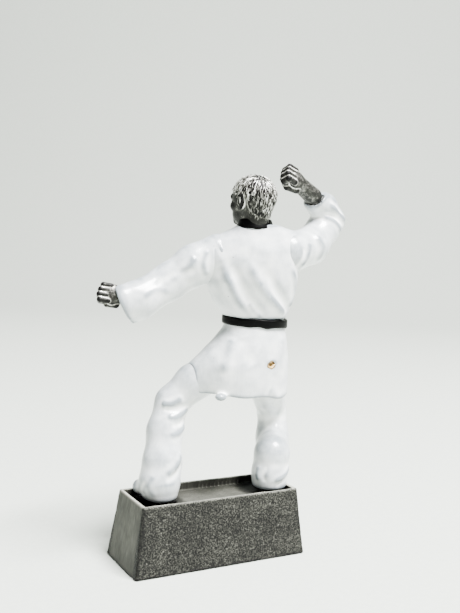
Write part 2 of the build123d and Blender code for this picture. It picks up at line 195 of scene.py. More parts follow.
def new_material(name):
    """An empty material; returns it with its node tree and its shader node."""
    material = bpy.data.materials.new(name)
    material.use_nodes = True
    tree = material.node_tree
    return material, tree, tree.nodes["Principled BSDF"]


def ramp(tree, value, stops):
    """A colour ramp over value. A stop is (place, hex colour)."""
    node = add_node(tree, "ShaderNodeValToRGB", inputs={"Fac": value})
    steps = node.color_ramp.elements
    while len(steps) < len(stops):
        steps.new(0.5)
    for step, (place, code) in zip(steps, stops):
        step.position = place
        step.color = srgb(code)
    return node.outputs["Color"]


def sum_of(tree, *terms):
    """Adds up (socket, factor) pairs and returns the last socket."""
    total = None
    for socket, factor in terms:
        part = add_node(tree, "ShaderNodeMath", {"operation": "MULTIPLY"}, {0: socket, 1: factor}).outputs[0]
        if total is None:
            total = part
        else:
            total = add_node(tree, "ShaderNodeMath", {"operation": "ADD"}, {0: total, 1: part}).outputs[0]
    return total


def pattern(tree, size_mm, detail=3.0, stretch=(1, 1, 1), turn=(0, 0, 0)):
    """Noise on object coordinates with features size_mm across, stretched along some axes."""
    where = add_node(tree, "ShaderNodeTexCoord").outputs["Object"]
    scale = [1000 / size_mm / s for s in stretch]
    placed = add_node(tree, "ShaderNodeMapping", {}, {"Vector": where, "Rotation": turn, "Scale": scale})
    noise_node = add_node(
        tree, "ShaderNodeTexNoise", {}, {"Vector": placed.outputs[0], "Scale": 1.0, "Detail": detail}
    )
    return noise_node.outputs["Fac"]


def antique_silver(name, bright, mid, dark, contrast, speckle):
    """Silver paint under a black wash, rubbed back: dark in the hollows, bright on every edge."""
    material, tree, shader = new_material(name)
    height = add_node(tree, "ShaderNodeAttribute", {"attribute_name": "relief"}).outputs["Fac"]
    blotch = pattern(tree, 2.4, 4.0)
    grain = pattern(tree, 0.5, 3.0)
    tone = sum_of(tree, (height, contrast), (blotch, 0.7), (grain, speckle))
    level = add_node(tree, "ShaderNodeMath", {"operation": "ADD"}, {0: tone, 1: -0.35 - speckle / 2 + 0.5})
    colour = ramp(tree, level.outputs[0], ((0.12, dark), (0.42, mid), (0.72, bright), (0.95, "#f4f3ee")))
    tree.links.new(colour, shader.inputs["Base Color"])
    rough = add_node(
        tree, "ShaderNodeMapRange", {},
        {"Value": level.outputs[0], "From Min": 0.2, "From Max": 0.8, "To Min": 0.55, "To Max": 0.3},
    )
    tree.links.new(rough.outputs["Result"], shader.inputs["Roughness"])
    shader.inputs["Metallic"].default_value = 0.5
    shader.inputs["Specular IOR Level"].default_value = 0.25
    bump = add_node(
        tree, "ShaderNodeBump", {}, {"Strength": 0.35, "Distance": 0.0002, "Height": grain}
    )
    tree.links.new(bump.outputs["Normal"], shader.inputs["Normal"])
    return material


block_low, block_high = corners("base_block")
block_top = block_high[2]
block_size = block_high - block_low
rim_wide, tray_deep = 1.6, 3.6
top_shrink = vec(7.6, 6.6)
taper = top_shrink / 2 / block_size[2]
plate_low, plate_high = corners("name_plate")
plate_half = (plate_high - plate_low) / 2 + (0.3, 1.2, 0.3)
plate_middle = (plate_low + plate_high) / 2


HATCH = vec(-11.5, -8.0, block_top - tray_deep)  # a file-marked patch of the tray floor
HATCH_HALF = vec(15.0, 8.5, 2.2)


def block_field(p):
    z_mid = (block_low[2] + block_top) / 2
    body = block_box(p, block_size - 2.4, z_mid, taper) - 1.2
    tray_half = (block_size[:2] - top_shrink) / 2 - rim_wide
    tray = np.maximum(np.abs(p[:, 0]) - tray_half[0], np.abs(p[:, 1]) - tray_half[1])
    tray = np.maximum(tray, block_top - tray_deep - p[:, 2])
    solid = carve(body, tray, 0.5)
    lean = (p[:, 2] - plate_middle[2]) * taper[1]
    recess = np.stack(
        (np.abs(p[:, 0] - plate_middle[0]) - plate_half[0],
         np.abs(p[:, 1] - lean - plate_middle[1]) - plate_half[1] + 0.9,
         np.abs(p[:, 2] - plate_middle[2]) - plate_half[2]), -1
    ).max(1)
    solid = np.maximum(solid, -recess)
    near = np.abs(solid) < 1.5
    q = p[near]
    long_face = np.clip((np.abs(q[:, 1]) - 11.5) / 3, 0, 1)
    below_rim = np.clip((block_top - 0.8 - q[:, 2]) / 2.0, 0, 1)
    rough = 0.16 * noise(q, 1.3, 3) + 0.12 * noise(q, 0.8, 4)
    pit = np.maximum(rough - 0.03, 0) * 1.9
    solid[near] += pit * long_face * below_rim + 0.12 * noise(q, 7.0, 5) + 0.05 * noise(q, 2.2, 6)
    hatched = np.clip(1 - np.abs((q - HATCH) / HATCH_HALF).max(1), 0, 0.2) * 5
    solid[near] += 0.13 * hatched * np.sin((0.8 * q[:, 0] + 0.6 * q[:, 1]) * 2 * math.pi / 1.7)
    return solid


block = sculpt("block", block_low - 1.5, block_high + 1.5, BLOCK_VOXEL, block_field)
block_points, _ = read_points(block)
block_relief = relief(block, 6)
long_side = np.clip((np.abs(block_points[:, 1]) - 12.6) / 1.5, 0, 1)
rim_edge = np.clip((block_points[:, 2] - (block_top - 0.9)) / 0.7, 0, 1)
in_tray = (np.abs(block_points[:, :2]) < vec(37.7, 12.4)).all(1) & (block_points[:, 2] > 20)
mark(block, "relief", block_relief * np.where(in_tray, 0.4, 1.0))
mark(block, "rough_face", long_side)
mark(block, "rim", rim_edge * ~in_tray)
# The "wash" attribute: a painted shadow on the tray floor round each foot, and the tray walls a little
# darker.
shadow = np.zeros(len(block_points))
for foot in ("left_foot", "right_foot"):
    gap = np.hypot(*(block_points[:, :2] - centre(foot)[:2]).T) - 9.5
    shadow = np.maximum(shadow, np.clip(1 - gap / 5, 0, 1))
walls = np.where(block_points[:, 2] > block_top - tray_deep + 0.5, 0.12, 0.0)
mark(block, "wash", np.where(in_tray, np.maximum(walls, shadow), 0))


def pewter_block():
    """Pewter spray over resin, with black left in the pits, the rim rubbed bright, and a painted shadow round
    the feet in the tray.
    """
    material, tree, shader = new_material("antique_pewter_paint")
    height = add_node(tree, "ShaderNodeAttribute", {"attribute_name": "relief"}).outputs["Fac"]
    rough_face = add_node(tree, "ShaderNodeAttribute", {"attribute_name": "rough_face"}).outputs["Fac"]
    rim = add_node(tree, "ShaderNodeAttribute", {"attribute_name": "rim"}).outputs["Fac"]
    # The "wash" attribute darkens the tray walls and paints a shadow round the feet.
    wash = add_node(tree, "ShaderNodeAttribute", {"attribute_name": "wash"}).outputs["Fac"]
    speck = pattern(tree, 0.62, 5.0)
    cloud = pattern(tree, 9.0, 3.0)
    brushed = pattern(tree, 0.7, 4.0, (1, 1, 14))
    pits = add_node(
        tree, "ShaderNodeMapRange", {},
        {"Value": speck, "From Min": 0.4, "From Max": 0.6, "To Min": -0.3, "To Max": 0.14},
    ).outputs["Result"]
    on_face = add_node(tree, "ShaderNodeMath", {"operation": "MULTIPLY"}, {0: pits, 1: rough_face}).outputs[0]
    tone = sum_of(
        tree, (height, 1.6), (on_face, 1.0), (cloud, 0.3), (brushed, 0.3), (rim, 0.4), (wash, -0.5),
        (rough_face, -0.2)
    )
    level = add_node(tree, "ShaderNodeMath", {"operation": "ADD"}, {0: tone, 1: 0.245}).outputs[0]
    colour = ramp(
        tree, level,
        ((0.05, "#030303"), (0.32, "#1b1b18"), (0.52, "#3a3a35"), (0.8, "#66665e"), (1.0, "#c4c3ba")),
    )
    tree.links.new(colour, shader.inputs["Base Color"])
    shader.inputs["Metallic"].default_value = 0.1
    shader.inputs["Specular IOR Level"].default_value = 0.15
    shader.inputs["Roughness"].default_value = 0.6
    mixed = sum_of(tree, (on_face, 1.0), (brushed, 0.12), (speck, 0.1))
    bump = add_node(tree, "ShaderNodeBump", {}, {"Strength": 0.6, "Distance": 0.00035, "Height": mixed})
    tree.links.new(bump.outputs["Normal"], shader.inputs["Normal"])
    return material


block.data.materials.append(pewter_block())
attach(block, "root")
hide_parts("base_block")

# ---------------------------------------------------------------- the figure's cloth
# The uniform is part of the casting, painted by hand in white gloss enamel. The paint pools a
# little in the folds, and the sculptor's folds run from every joint. Folds and undersides are
# greyed in the paint's colour as painted shade.


def limb(p, a, b, ra, rb, flat=None):
    """Distance to a tapered round limb from a to b. flat is (direction, factor) to squeeze it."""
    a, b = np.asarray(a, np.float32), np.asarray(b, np.float32)
    along = b - a
    q = p - a
    t = np.clip(q @ along / (along @ along), 0, 1)
    off = q - t[:, None] * along
    if flat is not None:
        direction = np.asarray(flat[0], np.float32)
        direction = direction / np.linalg.norm(direction)
        off = off + (off @ direction)[:, None] * direction * (1 / flat[1] - 1)
    return np.sqrt((off * off).sum(1)) - (ra + t * (rb - ra))


def chain(p, joints, k, flat=None):
    """Limbs through (point, radius) joints, melted into one another."""
    total = None
    for (a, ra), (b, rb) in zip(joints, joints[1:]):
        part = limb(p, a, b, ra, rb, flat)
        total = part if total is None else melt(total, part, k)
    return total


def egg(p, middle, radii, turn=0.0):
    """Distance to an ellipsoid, turned by turn degrees about +Z."""
    q = spin(p - np.asarray(middle, np.float32), -turn)
    radii = np.asarray(radii, np.float32)
    return (np.sqrt(((q / radii) ** 2).sum(1)) - 1) * radii.min()


def spin(p, degrees):
    """Points turned about +Z."""
    c, s = math.cos(math.radians(degrees)), math.sin(math.radians(degrees))
    return np.stack((c * p[:, 0] - s * p[:, 1], s * p[:, 0] + c * p[:, 1], p[:, 2]), -1)


def barrel(p, stations, turn):
    """Distance to a body of ellipses. A station is (height, x, y, radius across, radius deep)."""
    s = np.array(sorted(stations))
    heights = np.arange(s[0, 0] - 6, s[-1, 0] + 6, 0.25)
    blur = np.hanning(29) / np.hanning(29).sum()
    x, y, across, deep = (
        np.interp(p[:, 2], heights, np.convolve(np.pad(row, 14, "edge"), blur, "valid"))
        for row in (np.interp(heights, s[:, 0], s[:, i]) for i in (1, 2, 3, 4))
    )
    q = spin(np.stack((p[:, 0] - x, p[:, 1] - y, p[:, 2]), -1), -turn)
    return (np.hypot(q[:, 0] / across, q[:, 1] / deep) - 1) * np.minimum(across, deep)


def settle(field, points):
    """Moves points on to the surface of a field, along its slope."""
    points = np.array(points, np.float32)
    step = 0.2
    for _ in range(12):
        here = field(points)
        slope = np.stack([(field(points + step * np.eye(3, dtype=np.float32)[i]) - here) / step
                          for i in range(3)], -1)
        points = points - (here / np.maximum((slope ** 2).sum(1), 0.2))[:, None] * slope
    return points


def smooth_path(points, count=8):
    """A curve through a few points, as count steps between each two."""
    pts = np.vstack((2 * points[0] - points[1], points, 2 * points[-1] - points[-2]))
    out = []
    for i in range(1, len(pts) - 2):
        for t in np.linspace(0, 1, count, endpoint=False):
            p0, p1, p2, p3 = pts[i - 1:i + 3]
            out.append(0.5 * (2 * p1 + (p2 - p0) * t + (2 * p0 - 5 * p1 + 4 * p2 - p3) * t ** 2
                              + (3 * p1 - p0 - 3 * p2 + p3) * t ** 3))
    out.append(points[-1])
    return np.array(out, np.float32)


def press_folds(p, d, field, folds):
    """Raises or sinks folds. A fold is (height, width, points); it fades out at both ends."""
    near = np.flatnonzero(np.abs(d) < 3)
    q = p[near]
    lift = np.zeros(len(near), np.float32)
    for height, width, points in folds:
        path = settle(field, smooth_path(np.array(points, np.float32)))
        best = np.full(len(q), 1e9, np.float32)
        place = np.zeros(len(q), np.float32)
        close = np.flatnonzero(((q > path.min(0) - 3 * width) & (q < path.max(0) + 3 * width)).all(1))
        for i, (a, b) in enumerate(zip(path, path[1:])):
            along = b - a
            t = np.clip((q[close] - a) @ along / max(along @ along, 1e-6), 0, 1)
            gap = ((q[close] - a - t[:, None] * along) ** 2).sum(1)
            nearer = gap < best[close]
            best[close[nearer]] = gap[nearer]
            place[close[nearer]] = (i + t[nearer]) / (len(path) - 1)
        fade = np.clip(np.minimum(place, 1 - place) * 5, 0, 1)
        fade = fade * fade * (3 - 2 * fade)
        lift += height * np.exp(-best / width ** 2) * (0.15 + 0.85 * fade)
    d = d.copy()
    d[near] -= lift
    return d


def around(middle, turn=0.0):
    """A function for points round an upright axis: angle 0 is the back, 90 is the figure's left."""
    def at(angle, height, radius=14.0):
        a = math.radians(angle + turn)
        return (middle[0] + radius * math.sin(a), middle[1] + radius * math.cos(a), height)
    return at


def white_enamel():
    """Brushed-on white gloss enamel, with painted shade in cool grey in the hollows and on undersides, and a
    few specks and brush marks.
    """
    material, tree, shader = new_material("white_gloss_enamel")
    height = add_node(tree, "ShaderNodeAttribute", {"attribute_name": "relief"}).outputs["Fac"]
    patchy = pattern(tree, 5.0, 3.0)
    brush = pattern(tree, 0.6, 3.0, (1, 1, 7))
    # The relief attribute greys the folds and the undersides: painted shade.
    tone = sum_of(tree, (height, 1.9), (patchy, 0.45), (brush, 0.12))
    level = add_node(tree, "ShaderNodeMath", {"operation": "ADD"}, {0: tone, 1: 0.34}).outputs[0]
    colour = ramp(tree, level, ((0.08, "#7f868b"), (0.38, "#bcc0c2"), (0.6, "#dddfde"), (0.9, "#f7f8f6")))
    where = add_node(tree, "ShaderNodeTexCoord").outputs["Object"]
    dots = add_node(tree, "ShaderNodeTexVoronoi", {}, {"Vector": where, "Scale": 1000 / 9.0})
    speck = add_node(
        tree, "ShaderNodeMapRange", {},
        {"Value": dots.outputs["Distance"], "From Min": 0.025, "From Max": 0.045,
         "To Min": 0.75, "To Max": 0.0},
    ).outputs["Result"]
    # In a Mix node's colour mode, socket 0 is the factor, 6 and 7 the two inputs and output 2 the result.
    specked = add_node(
        tree, "ShaderNodeMix", {"data_type": "RGBA"}, {0: speck, 6: colour, 7: srgb("#6c6a66")}
    ).outputs[2]
    chip = add_node(tree, "ShaderNodeAttribute", {"attribute_name": "chip"}).outputs["Fac"]
    chipped = ramp(tree, chip, ((0.35, "#d8d8d4"), (0.45, "#3f3a30"), (0.7, "#7d6238"), (0.95, "#a98f5f")))
    edge = add_node(
        tree, "ShaderNodeMapRange", {},
        {"Value": chip, "From Min": 0.38, "From Max": 0.42, "To Min": 0.0, "To Max": 1.0},
    ).outputs["Result"]
    painted = add_node(
        tree, "ShaderNodeMix", {"data_type": "RGBA"}, {0: edge, 6: specked, 7: chipped}
    ).outputs[2]
    tree.links.new(painted, shader.inputs["Base Color"])
    shader.inputs["Roughness"].default_value = 0.3
    shader.inputs["Coat Weight"].default_value = 0.35
    shader.inputs["Coat Roughness"].default_value = 0.12
    wavy = sum_of(tree, (brush, 0.35), (patchy, 1.0))
    bump = add_node(tree, "ShaderNodeBump", {}, {"Strength": 0.35, "Distance": 0.0003, "Height": wavy})
    tree.links.new(bump.outputs["Normal"], shader.inputs["Normal"])
    return material


CLOTH_ROUNDS = 40  # smoothing rounds that set how wide a fold counts as a hollow


def finish_cloth(piece, node):
    """Marks hollows and undersides of a white piece as painted shade, paints it and hands it to the frame."""
    _, normals = read_points(piece)
    painted_underside_shade = np.clip(0.5 - normals[:, 2], 0, 1.3)
    # Painted shade: downward faces are marked lower, so the enamel's colour greys them as it does the
    # hollows.
    mark(piece, "relief", relief(piece, CLOTH_ROUNDS) - 0.11 * painted_underside_shade)
    piece.data.materials.append(enamel)
    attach(piece, "root")
    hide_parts(node)


CLOTH_VOXEL = 0.4
enamel = white_enamel()
TORSO_TURN = -12.0
left_shoulder, right_shoulder = centre("left_shoulder_pin"), centre("right_shoulder_pin")
left_hip, right_hip = centre("left_hip_pin"), centre("right_hip_pin")
left_wrist = centre("left_wrist_pin") + vec(2.5, 0.1, -0.8)
right_wrist = centre("right_wrist_pin") + vec(3.1, 0.8, 2.4)
waist = centre("waist_pin")
neck = centre("neck_pin") + vec(0, -0.5, 4.5)
tray_floor = block_top - tray_deep

# ---------------------------------------------------------------- trouser legs
# Wide cotton trousers, cast solid. The left knee is bent and carries the weight, so its cloth
# creases behind the knee; both hems break over the feet.
left_ankle, right_ankle = centre("left_leg_rod"), centre("right_leg_rod")
left_ankle[2] = right_ankle[2] = tray_floor + 6
left_knee = left_hip + vec(12.8, -5.1, -13.0)
right_knee = right_hip + vec(-11.2, -12.0, -16.9)


def left_leg_field(p):
    d = chain(p, (
        (left_hip + vec(-6, 2, 2), 9.4),
        (left_hip + vec(3.6, -1.8, -4.2), 8.2),
        (left_knee + vec(-0.5, 0.2, -0.6), 7.5),
        (left_knee + vec(4.1, 3.3, -13), 7.9),
        (left_knee + vec(6.7, 7.7, -26), 8.6),
        (left_ankle + vec(1.6, -1.4, 3.5), 8.9),
        (left_ankle + vec(1.4, -0.8, -1.5), 7.7),
    ), 2.5)
    drape = limb(p, left_ankle + vec(3, -3, 1.0), left_ankle + vec(7.4, -9.7, -0.4), 6.2, 3.4)
    d = melt(d, drape, 2.0)
    return keep(d, tray_floor + 2.4 - p[:, 2], 1.2)


def left_leg(p):
    d = left_leg_field(p)
    knee, ankle = left_knee, left_ankle
    folds = (
        (0.9, 1.5, (knee + vec(-2, 9, 3), knee + vec(4, 9, 1), knee + vec(8.5, 5, 0.5))),
        (-0.7, 1.2, (knee + vec(-5, 8, -0.5), knee + vec(2, 9, -2), knee + vec(7, 6, -2.2))),
        (1.0, 1.4, (knee + vec(-6, 8, -2.5), knee + vec(0, 9, -5), knee + vec(6, 8, -6.0))),
        (-0.7, 1.2, (knee + vec(-6, 7, -6.5), knee + vec(-1, 10, -8.6), knee + vec(5, 10, -9.6))),
        (0.8, 1.4, (knee + vec(-5, 7, -10.0), knee + vec(0, 11, -12), knee + vec(6, 10, -13.6))),
        (0.6, 1.6, (ankle + vec(-9, 4, 18), ankle + vec(-4, 9, 13), ankle + vec(4, 9, 9.5))),
        (-0.6, 1.6, (ankle + vec(-9, 4, 13), ankle + vec(-4, 9, 9), ankle + vec(4, 9, 6.5))),
        (0.4, 1.6, (ankle + vec(8, 6, 10), ankle + vec(9, 4, 4), ankle + vec(7, 6, -2))),
        (-0.5, 1.2, (ankle + vec(9, 2, 6), ankle + vec(10, -1, 1), ankle + vec(8, 1, -2))),
        (0.7, 1.8, (knee + vec(-4, -8, 2), knee + vec(3, -9, -3), knee + vec(8, -6, -10))),
        (0.6, 1.8, (knee + vec(-2, -6, -8), knee + vec(4, -5, -15), knee + vec(10, -1, -22))),
    )
    return press_folds(p, d, left_leg_field, folds)


low, high = corners("left_leg")
left_trouser = sculpt("left_trouser_leg", low - 3, high + 4, CLOTH_VOXEL, left_leg)
finish_cloth(left_trouser, "left_leg")


def right_leg_field(p):
    d = chain(p, (
        (right_hip + vec(0, 0, 4), 8.8),
        (right_knee + vec(-0.6, 0.4, 3), 6.9),
        (right_knee + vec(0.9, 4.4, -9), 7.9),
        (right_ankle + vec(-2.2, -0.4, 12), 8.2),
        (right_ankle + vec(-1.2, 0, 3.0), 8.3),
        (right_ankle + vec(-1.2, 0, -1.5), 8.3),
    ), 2.0)
    return keep(d, tray_floor + 2.4 - p[:, 2], 1.2)


def right_leg(p):
    d = right_leg_field(p)
    knee, ankle = right_knee, right_ankle
    folds = (
        (0.35, 2.0, (knee + vec(4, 8, 12), knee + vec(2, 9, 2), knee + vec(3, 9, -12))),
        (-0.4, 2.2, (knee + vec(8, 7, 12), knee + vec(7, 8, 0), knee + vec(9, 9, -14))),
        (0.8, 1.2, (ankle + vec(-9, 4, 6.6), ankle + vec(-6, 8, 4.0), ankle + vec(2, 9, 1.0))),
        (-0.5, 1.2, (ankle + vec(-8, 5, 2.0), ankle + vec(-4, 8, 0.2), ankle + vec(1, 9, -0.8))),
        (0.5, 1.2, (ankle + vec(8, 3, 8), ankle + vec(9, 3, 4), ankle + vec(8, 4, 0))),
        (-0.4, 1.2, (ankle + vec(5, 7, 9), ankle + vec(6.5, 6, 4), ankle + vec(5, 7, 0))),
        (0.7, 1.6, (knee + vec(-7, -3, 3), knee + vec(0, -8, -1), knee + vec(7, -4, 2))),
        (0.6, 1.6, (knee + vec(-6, -4, -4), knee + vec(1, -7, -8), knee + vec(7, -2, -5))),
    )
    return press_folds(p, d, right_leg_field, folds)


low, high = corners("right_leg")
right_trouser = sculpt("right_trouser_leg", low - 3, high + 3, CLOTH_VOXEL, right_leg)
finish_cloth(right_trouser, "right_leg")

# ---------------------------------------------------------------- jacket skirt
# The tail of the jacket below the belt: one thick flap of cloth over the hips, swelled on the
# side where the left thigh lifts it.
skirt_low, skirt_high = corners("jacket_skirt")
belt_low, belt_high = corners("belt_band")[0][2], corners("belt_band")[1][2]
hem = skirt_low[2]
SKIRT = (
    (belt_high, waist[0], 0, 14.0, 10.4),
    (belt_low - 0.4, waist[0], 0, 14.8, 11.2),
    (98.0, waist[0] + 2.8, 0, 19.2, 13.4),
    (90.0, waist[0] + 4.6, 0, 21.8, 14.8),
    (82.0, waist[0] + 4.6, 0, 22.0, 15.0),
    (hem, waist[0] + 4.2, 0, 21.6, 14.6),
    (hem - 4, waist[0] + 4.0, 0, 21.4, 14.2),
)


def skirt_field(p):
    d = barrel(p, SKIRT, TORSO_TURN / 2)
    d = melt(d, limb(p, left_hip + vec(-6, 2, 2), left_hip + vec(2.4, -1.4, -3.2), 9.8, 8.4), 5.0)
    d = keep(d, p[:, 2] - belt_high, 0.4)
    wave = hem + 0.4 * np.sin(p[:, 0] * 0.32 + 1.0) + 0.05 * (p[:, 0] - waist[0])
    return keep(d, wave - p[:, 2], 0.9)


CHIP = vec(-20.8, 14.2, 91.0)  # where a knock has taken the enamel off and shows the resin
DENTS = (
    (vec(-6.4, 14.6, 93.6), 0.5), (vec(-8.2, 14.8, 93.0), 0.3),
    (CHIP, 1.2), (CHIP + vec(-1.4, 0, 0.6), 0.8),
)


def skirt(p):
    d = skirt_field(p)
    at = around(waist + vec(4, 0, 0), TORSO_TURN / 2)
    folds = (
        (0.7, 2.4, (at(66, 104), at(62, 97, 18), at(66, 86, 20))),
        (-0.4, 3.2, (at(44, 104), at(34, 96), at(20, 90))),
        (0.4, 3.0, (at(-50, 103), at(-40, 94), at(-20, 84))),
        (0.4, 2.2, (at(-10, 80), at(-30, 78), at(-60, 80))),
        (0.8, 2.0, (at(150, 104), at(155, 95), at(150, 84))),
        (0.7, 2.0, (at(200, 104), at(198, 94), at(205, 82))),
        (-0.6, 1.6, (at(175, 104), at(176, 94), at(178, 82))),
    )
    d = press_folds(p, d, skirt_field, folds)
    d = melt(d, egg(p, (2.4, 10.6, hem + 1.1), (2.6, 2.4, 1.7)), 1.6)
    for place, size in DENTS:
        d = carve(d, egg(p, place, (size, 2.0 * size, 0.8 * size)), 0.3)
    return d


skirt_piece = sculpt("jacket_skirt_flap", skirt_low - 4, skirt_high + 3, CLOTH_VOXEL, skirt)
skirt_points, _ = read_points(skirt_piece)
chip_gap = (skirt_points - CHIP) / vec(2.0, 3.0, 1.6)
chip_gap = np.sqrt((chip_gap ** 2).sum(1)) + 0.35 * noise(skirt_points, 1.1, 31)
mark(skirt_piece, "chip", np.clip(1.5 - chip_gap, 0, 1))
finish_cloth(skirt_piece, "jacket_skirt")

# ---------------------------------------------------------------- jacket body
# Back and chest of the jacket, tucked into the belt so that it blouses over it. The folds of the
# back run from the left shoulder down to the right hip, where the raised arm pulls the cloth.
jacket_low, jacket_high = corners("jacket_body")
JACKET = (
    (belt_low, waist[0], 0, 14.0, 10.4),
    (belt_high + 0.3, waist[0], 0, 14.8, 11.2),
    (belt_high + 3, waist[0] + 0.6, 0, 16.6, 12.2),
    (118.0, waist[0] + 2.0, 0, 18.8, 12.8),
    (128.0, waist[0] + 3.2, 0.3, 22.2, 13.6),
    (138.0, waist[0] + 2.6, 0.6, 22.6, 12.8),
    (146.0, waist[0] + 1.6, 0.8, 19.0, 10.6),
    (151.0, waist[0] + 1.0, 1.0, 12.4, 8.4),
    (154.0, waist[0] + 1.2, 1.0, 8.2, 7.4),
)


def jacket_field(p):
    d = barrel(p, JACKET, TORSO_TURN)
    d = melt(d, limb(p, neck + vec(-6, 0, -5), right_shoulder + vec(2, 0, 1), 5.4, 8.4), 4)
    d = melt(d, limb(p, neck + vec(6, -1, -6), left_shoulder + vec(-2, 0, -0.4), 4.6, 8.4), 4)
    d = keep(d, belt_high - p[:, 2], 0.6)
    return keep(d, p[:, 2] - jacket_high[2], 0.8)


def jacket(p):
    d = jacket_field(p)
    at = around(waist + vec(2, 0, 0), TORSO_TURN)

    def back(x, height):
        return (waist[0] + x, 13.0, height)

    folds = (
        (1.2, 2.0, (back(26, 137), back(22, 126), back(17.6, 119), back(12, 111))),
        (-1.1, 2.4, (back(21, 137), back(15, 126), back(9, 118), back(3, 111))),
        (1.3, 2.1, (back(13, 138), back(6, 127), back(-2, 119), back(-12, 112))),
        (-1.1, 2.3, (back(4, 134), back(-2, 125), back(-10, 117), back(-17, 112))),
        (0.8, 1.7, (back(-9, 136), back(-14.5, 128), back(-16.5, 120), back(-14, 113))),
        (0.6, 1.3, (back(11, 119), back(8, 115), back(3, 111))),
        (0.5, 3.0, (back(14, 145), back(2, 142), back(-12, 144))),
        (0.8, 1.8, (at(150, 140), at(158, 128), at(166, 116))),
        (0.8, 1.8, (at(215, 140), at(205, 128), at(194, 116))),
        (0.7, 1.8, (at(120, 134), at(128, 124), at(140, 113))),
    )
    return press_folds(p, d, jacket_field, folds)


jacket_piece = sculpt("jacket_back_and_chest", jacket_low - 4, jacket_high + 3, CLOTH_VOXEL, jacket)
finish_cloth(jacket_piece, "jacket_body")

# ---------------------------------------------------------------- sleeves
# Wide sleeves with an open cuff. The left one hangs from the stretched arm; the right one is
# bunched at the elbow of the raised arm.
left_elbow = left_shoulder + vec(19.2, -4.3, -12.2)
right_elbow = right_shoulder + vec(-23.4, -6.8, 14.8)


def left_sleeve_field(p):
    d = chain(p, (
        (left_shoulder + vec(-3, 0.5, -0.8), 10.0),
        (left_shoulder + vec(8, -1.8, -5.6), 9.2),
        (left_elbow + vec(0, 0, -1.2), 8.2),
        (left_wrist + vec(-8, 0.2, -1.4), 8.3),
        (left_wrist + vec(-1.0, 0.2, -2.6), 8.2),
    ), 3.0, ((0, 1, 0), 0.86))
    d = melt(d, limb(p, left_wrist + vec(-7.0, 0, -5.0), left_wrist + vec(-5.4, 0, -9.6), 4.0, 1.9), 2.5)
    past = (p - left_wrist) @ vec(0.80, -0.42, -0.43) - 1.0
    return keep(d, past, 0.8)


def left_sleeve(p):
    d = left_sleeve_field(p)
    s, e, w = left_shoulder, left_elbow, left_wrist
    folds = (
        (0.5, 1.2, (s + vec(0, 9, 5), s + vec(-0.8, 9, -1), s + vec(-1, 8, -9))),
        (-0.45, 1.3, (s + vec(2.6, 9, 5), s + vec(2, 9, -1), s + vec(1.6, 8, -9))),
        (0.6, 1.4, (s + vec(6, 8, 4), s + vec(8, 9, -4), s + vec(5, 8, -11))),
        (0.7, 2.0, (s + vec(12, 8, 1), s + vec(16, 9, -6), e + vec(4, 8, 0))),
        (-0.6, 1.8, (s + vec(10, 8, -7), e + vec(0, 8, 3), e + vec(10, 8, -1))),
        (0.5, 1.6, (e + vec(2, 8, -5), e + vec(10, 8, -4), e + vec(16, 8, -8))),
        (0.5, 1.6, (e + vec(0, -8, 3), e + vec(8, -8, -3), e + vec(15, -8, -6))),
        (-0.7, 1.4, (s + vec(2, -8, 4), s + vec(6, -8, -4), s + vec(4, -8, -10))),
    )
    d = press_folds(p, d, left_sleeve_field, folds)
    return carve(d, limb(p, w + vec(-5, 1.4, -1.6), w + vec(7, -3.4, -2.6), 4.2, 5.0), 0.8)


low, high = corners("left_sleeve")
left_sleeve_piece = sculpt("left_sleeve_cloth", low - 4, high + 3, CLOTH_VOXEL, left_sleeve)
finish_cloth(left_sleeve_piece, "left_sleeve")


def right_sleeve_field(p):
    d = chain(p, (
        (right_shoulder + vec(4, 0.5, -1), 9.6),
        (right_shoulder + vec(-9, -1.6, 2.4), 8.6),
        (right_elbow + vec(5.0, 1.4, -4.2), 7.8),
        (right_elbow + vec(0.4, 0, -0.4), 6.9),
        (right_elbow + vec(6.2, 1.8, 6.0), 6.6),
        (right_wrist + vec(-3.0, -0.8, -2.6), 5.9),
    ), 2.0)
    past = (p - right_wrist) @ vec(0.50, 0.1, 0.86) + 2.4
    return keep(d, past, 0.7)


def right_sleeve(p):
    d = right_sleeve_field(p)
    s, e, w = right_shoulder, right_elbow, right_wrist
    folds = (
        (0.8, 1.2, (e + vec(-2, 8, -6), e + vec(4, 8, -1), e + vec(10, 7, 2))),
        (-0.8, 1.0, (e + vec(-5, 7, -3), e + vec(2, 8, 1), e + vec(9, 7, 4))),
        (0.6, 1.1, (e + vec(-6, 6, 0), e + vec(1, 8, 4), e + vec(8, 7, 7))),
        (-0.5, 1.1, (e + vec(-5, 6, 3), e + vec(2, 8, 7), e + vec(8, 7, 9))),
        (0.5, 1.6, (s + vec(-2, 9, 5), s + vec(-1, 9, -1), s + vec(2, 8, -8))),
        (-0.5, 1.4, (s + vec(1.0, 9, 2), s + vec(2.0, 9, -3), s + vec(4.6, 8, -9))),
        (0.7, 1.8, (s + vec(-6, 8, 9), s + vec(-10, 9, 2), s + vec(-8, 6, -6))),
        (0.6, 1.6, (s + vec(-14, -8, 12), s + vec(-12, -9, 3), s + vec(-6, -8, -4))),
    )
    d = press_folds(p, d, right_sleeve_field, folds)
    return carve(d, limb(p, w + vec(-4, 0, -4), w + vec(5, 2, 4), 4.2, 4.8), 0.6)


low, high = corners("right_sleeve")
right_sleeve_piece = sculpt("right_sleeve_cloth", low - 3, high + 3, CLOTH_VOXEL, right_sleeve)
finish_cloth(right_sleeve_piece, "right_sleeve")

# ---------------------------------------------------------------- belt
# A stiff cotton belt, moulded round the waist with its square knot in front and two hanging
# ends, and painted black by hand, so its edges wander a little.


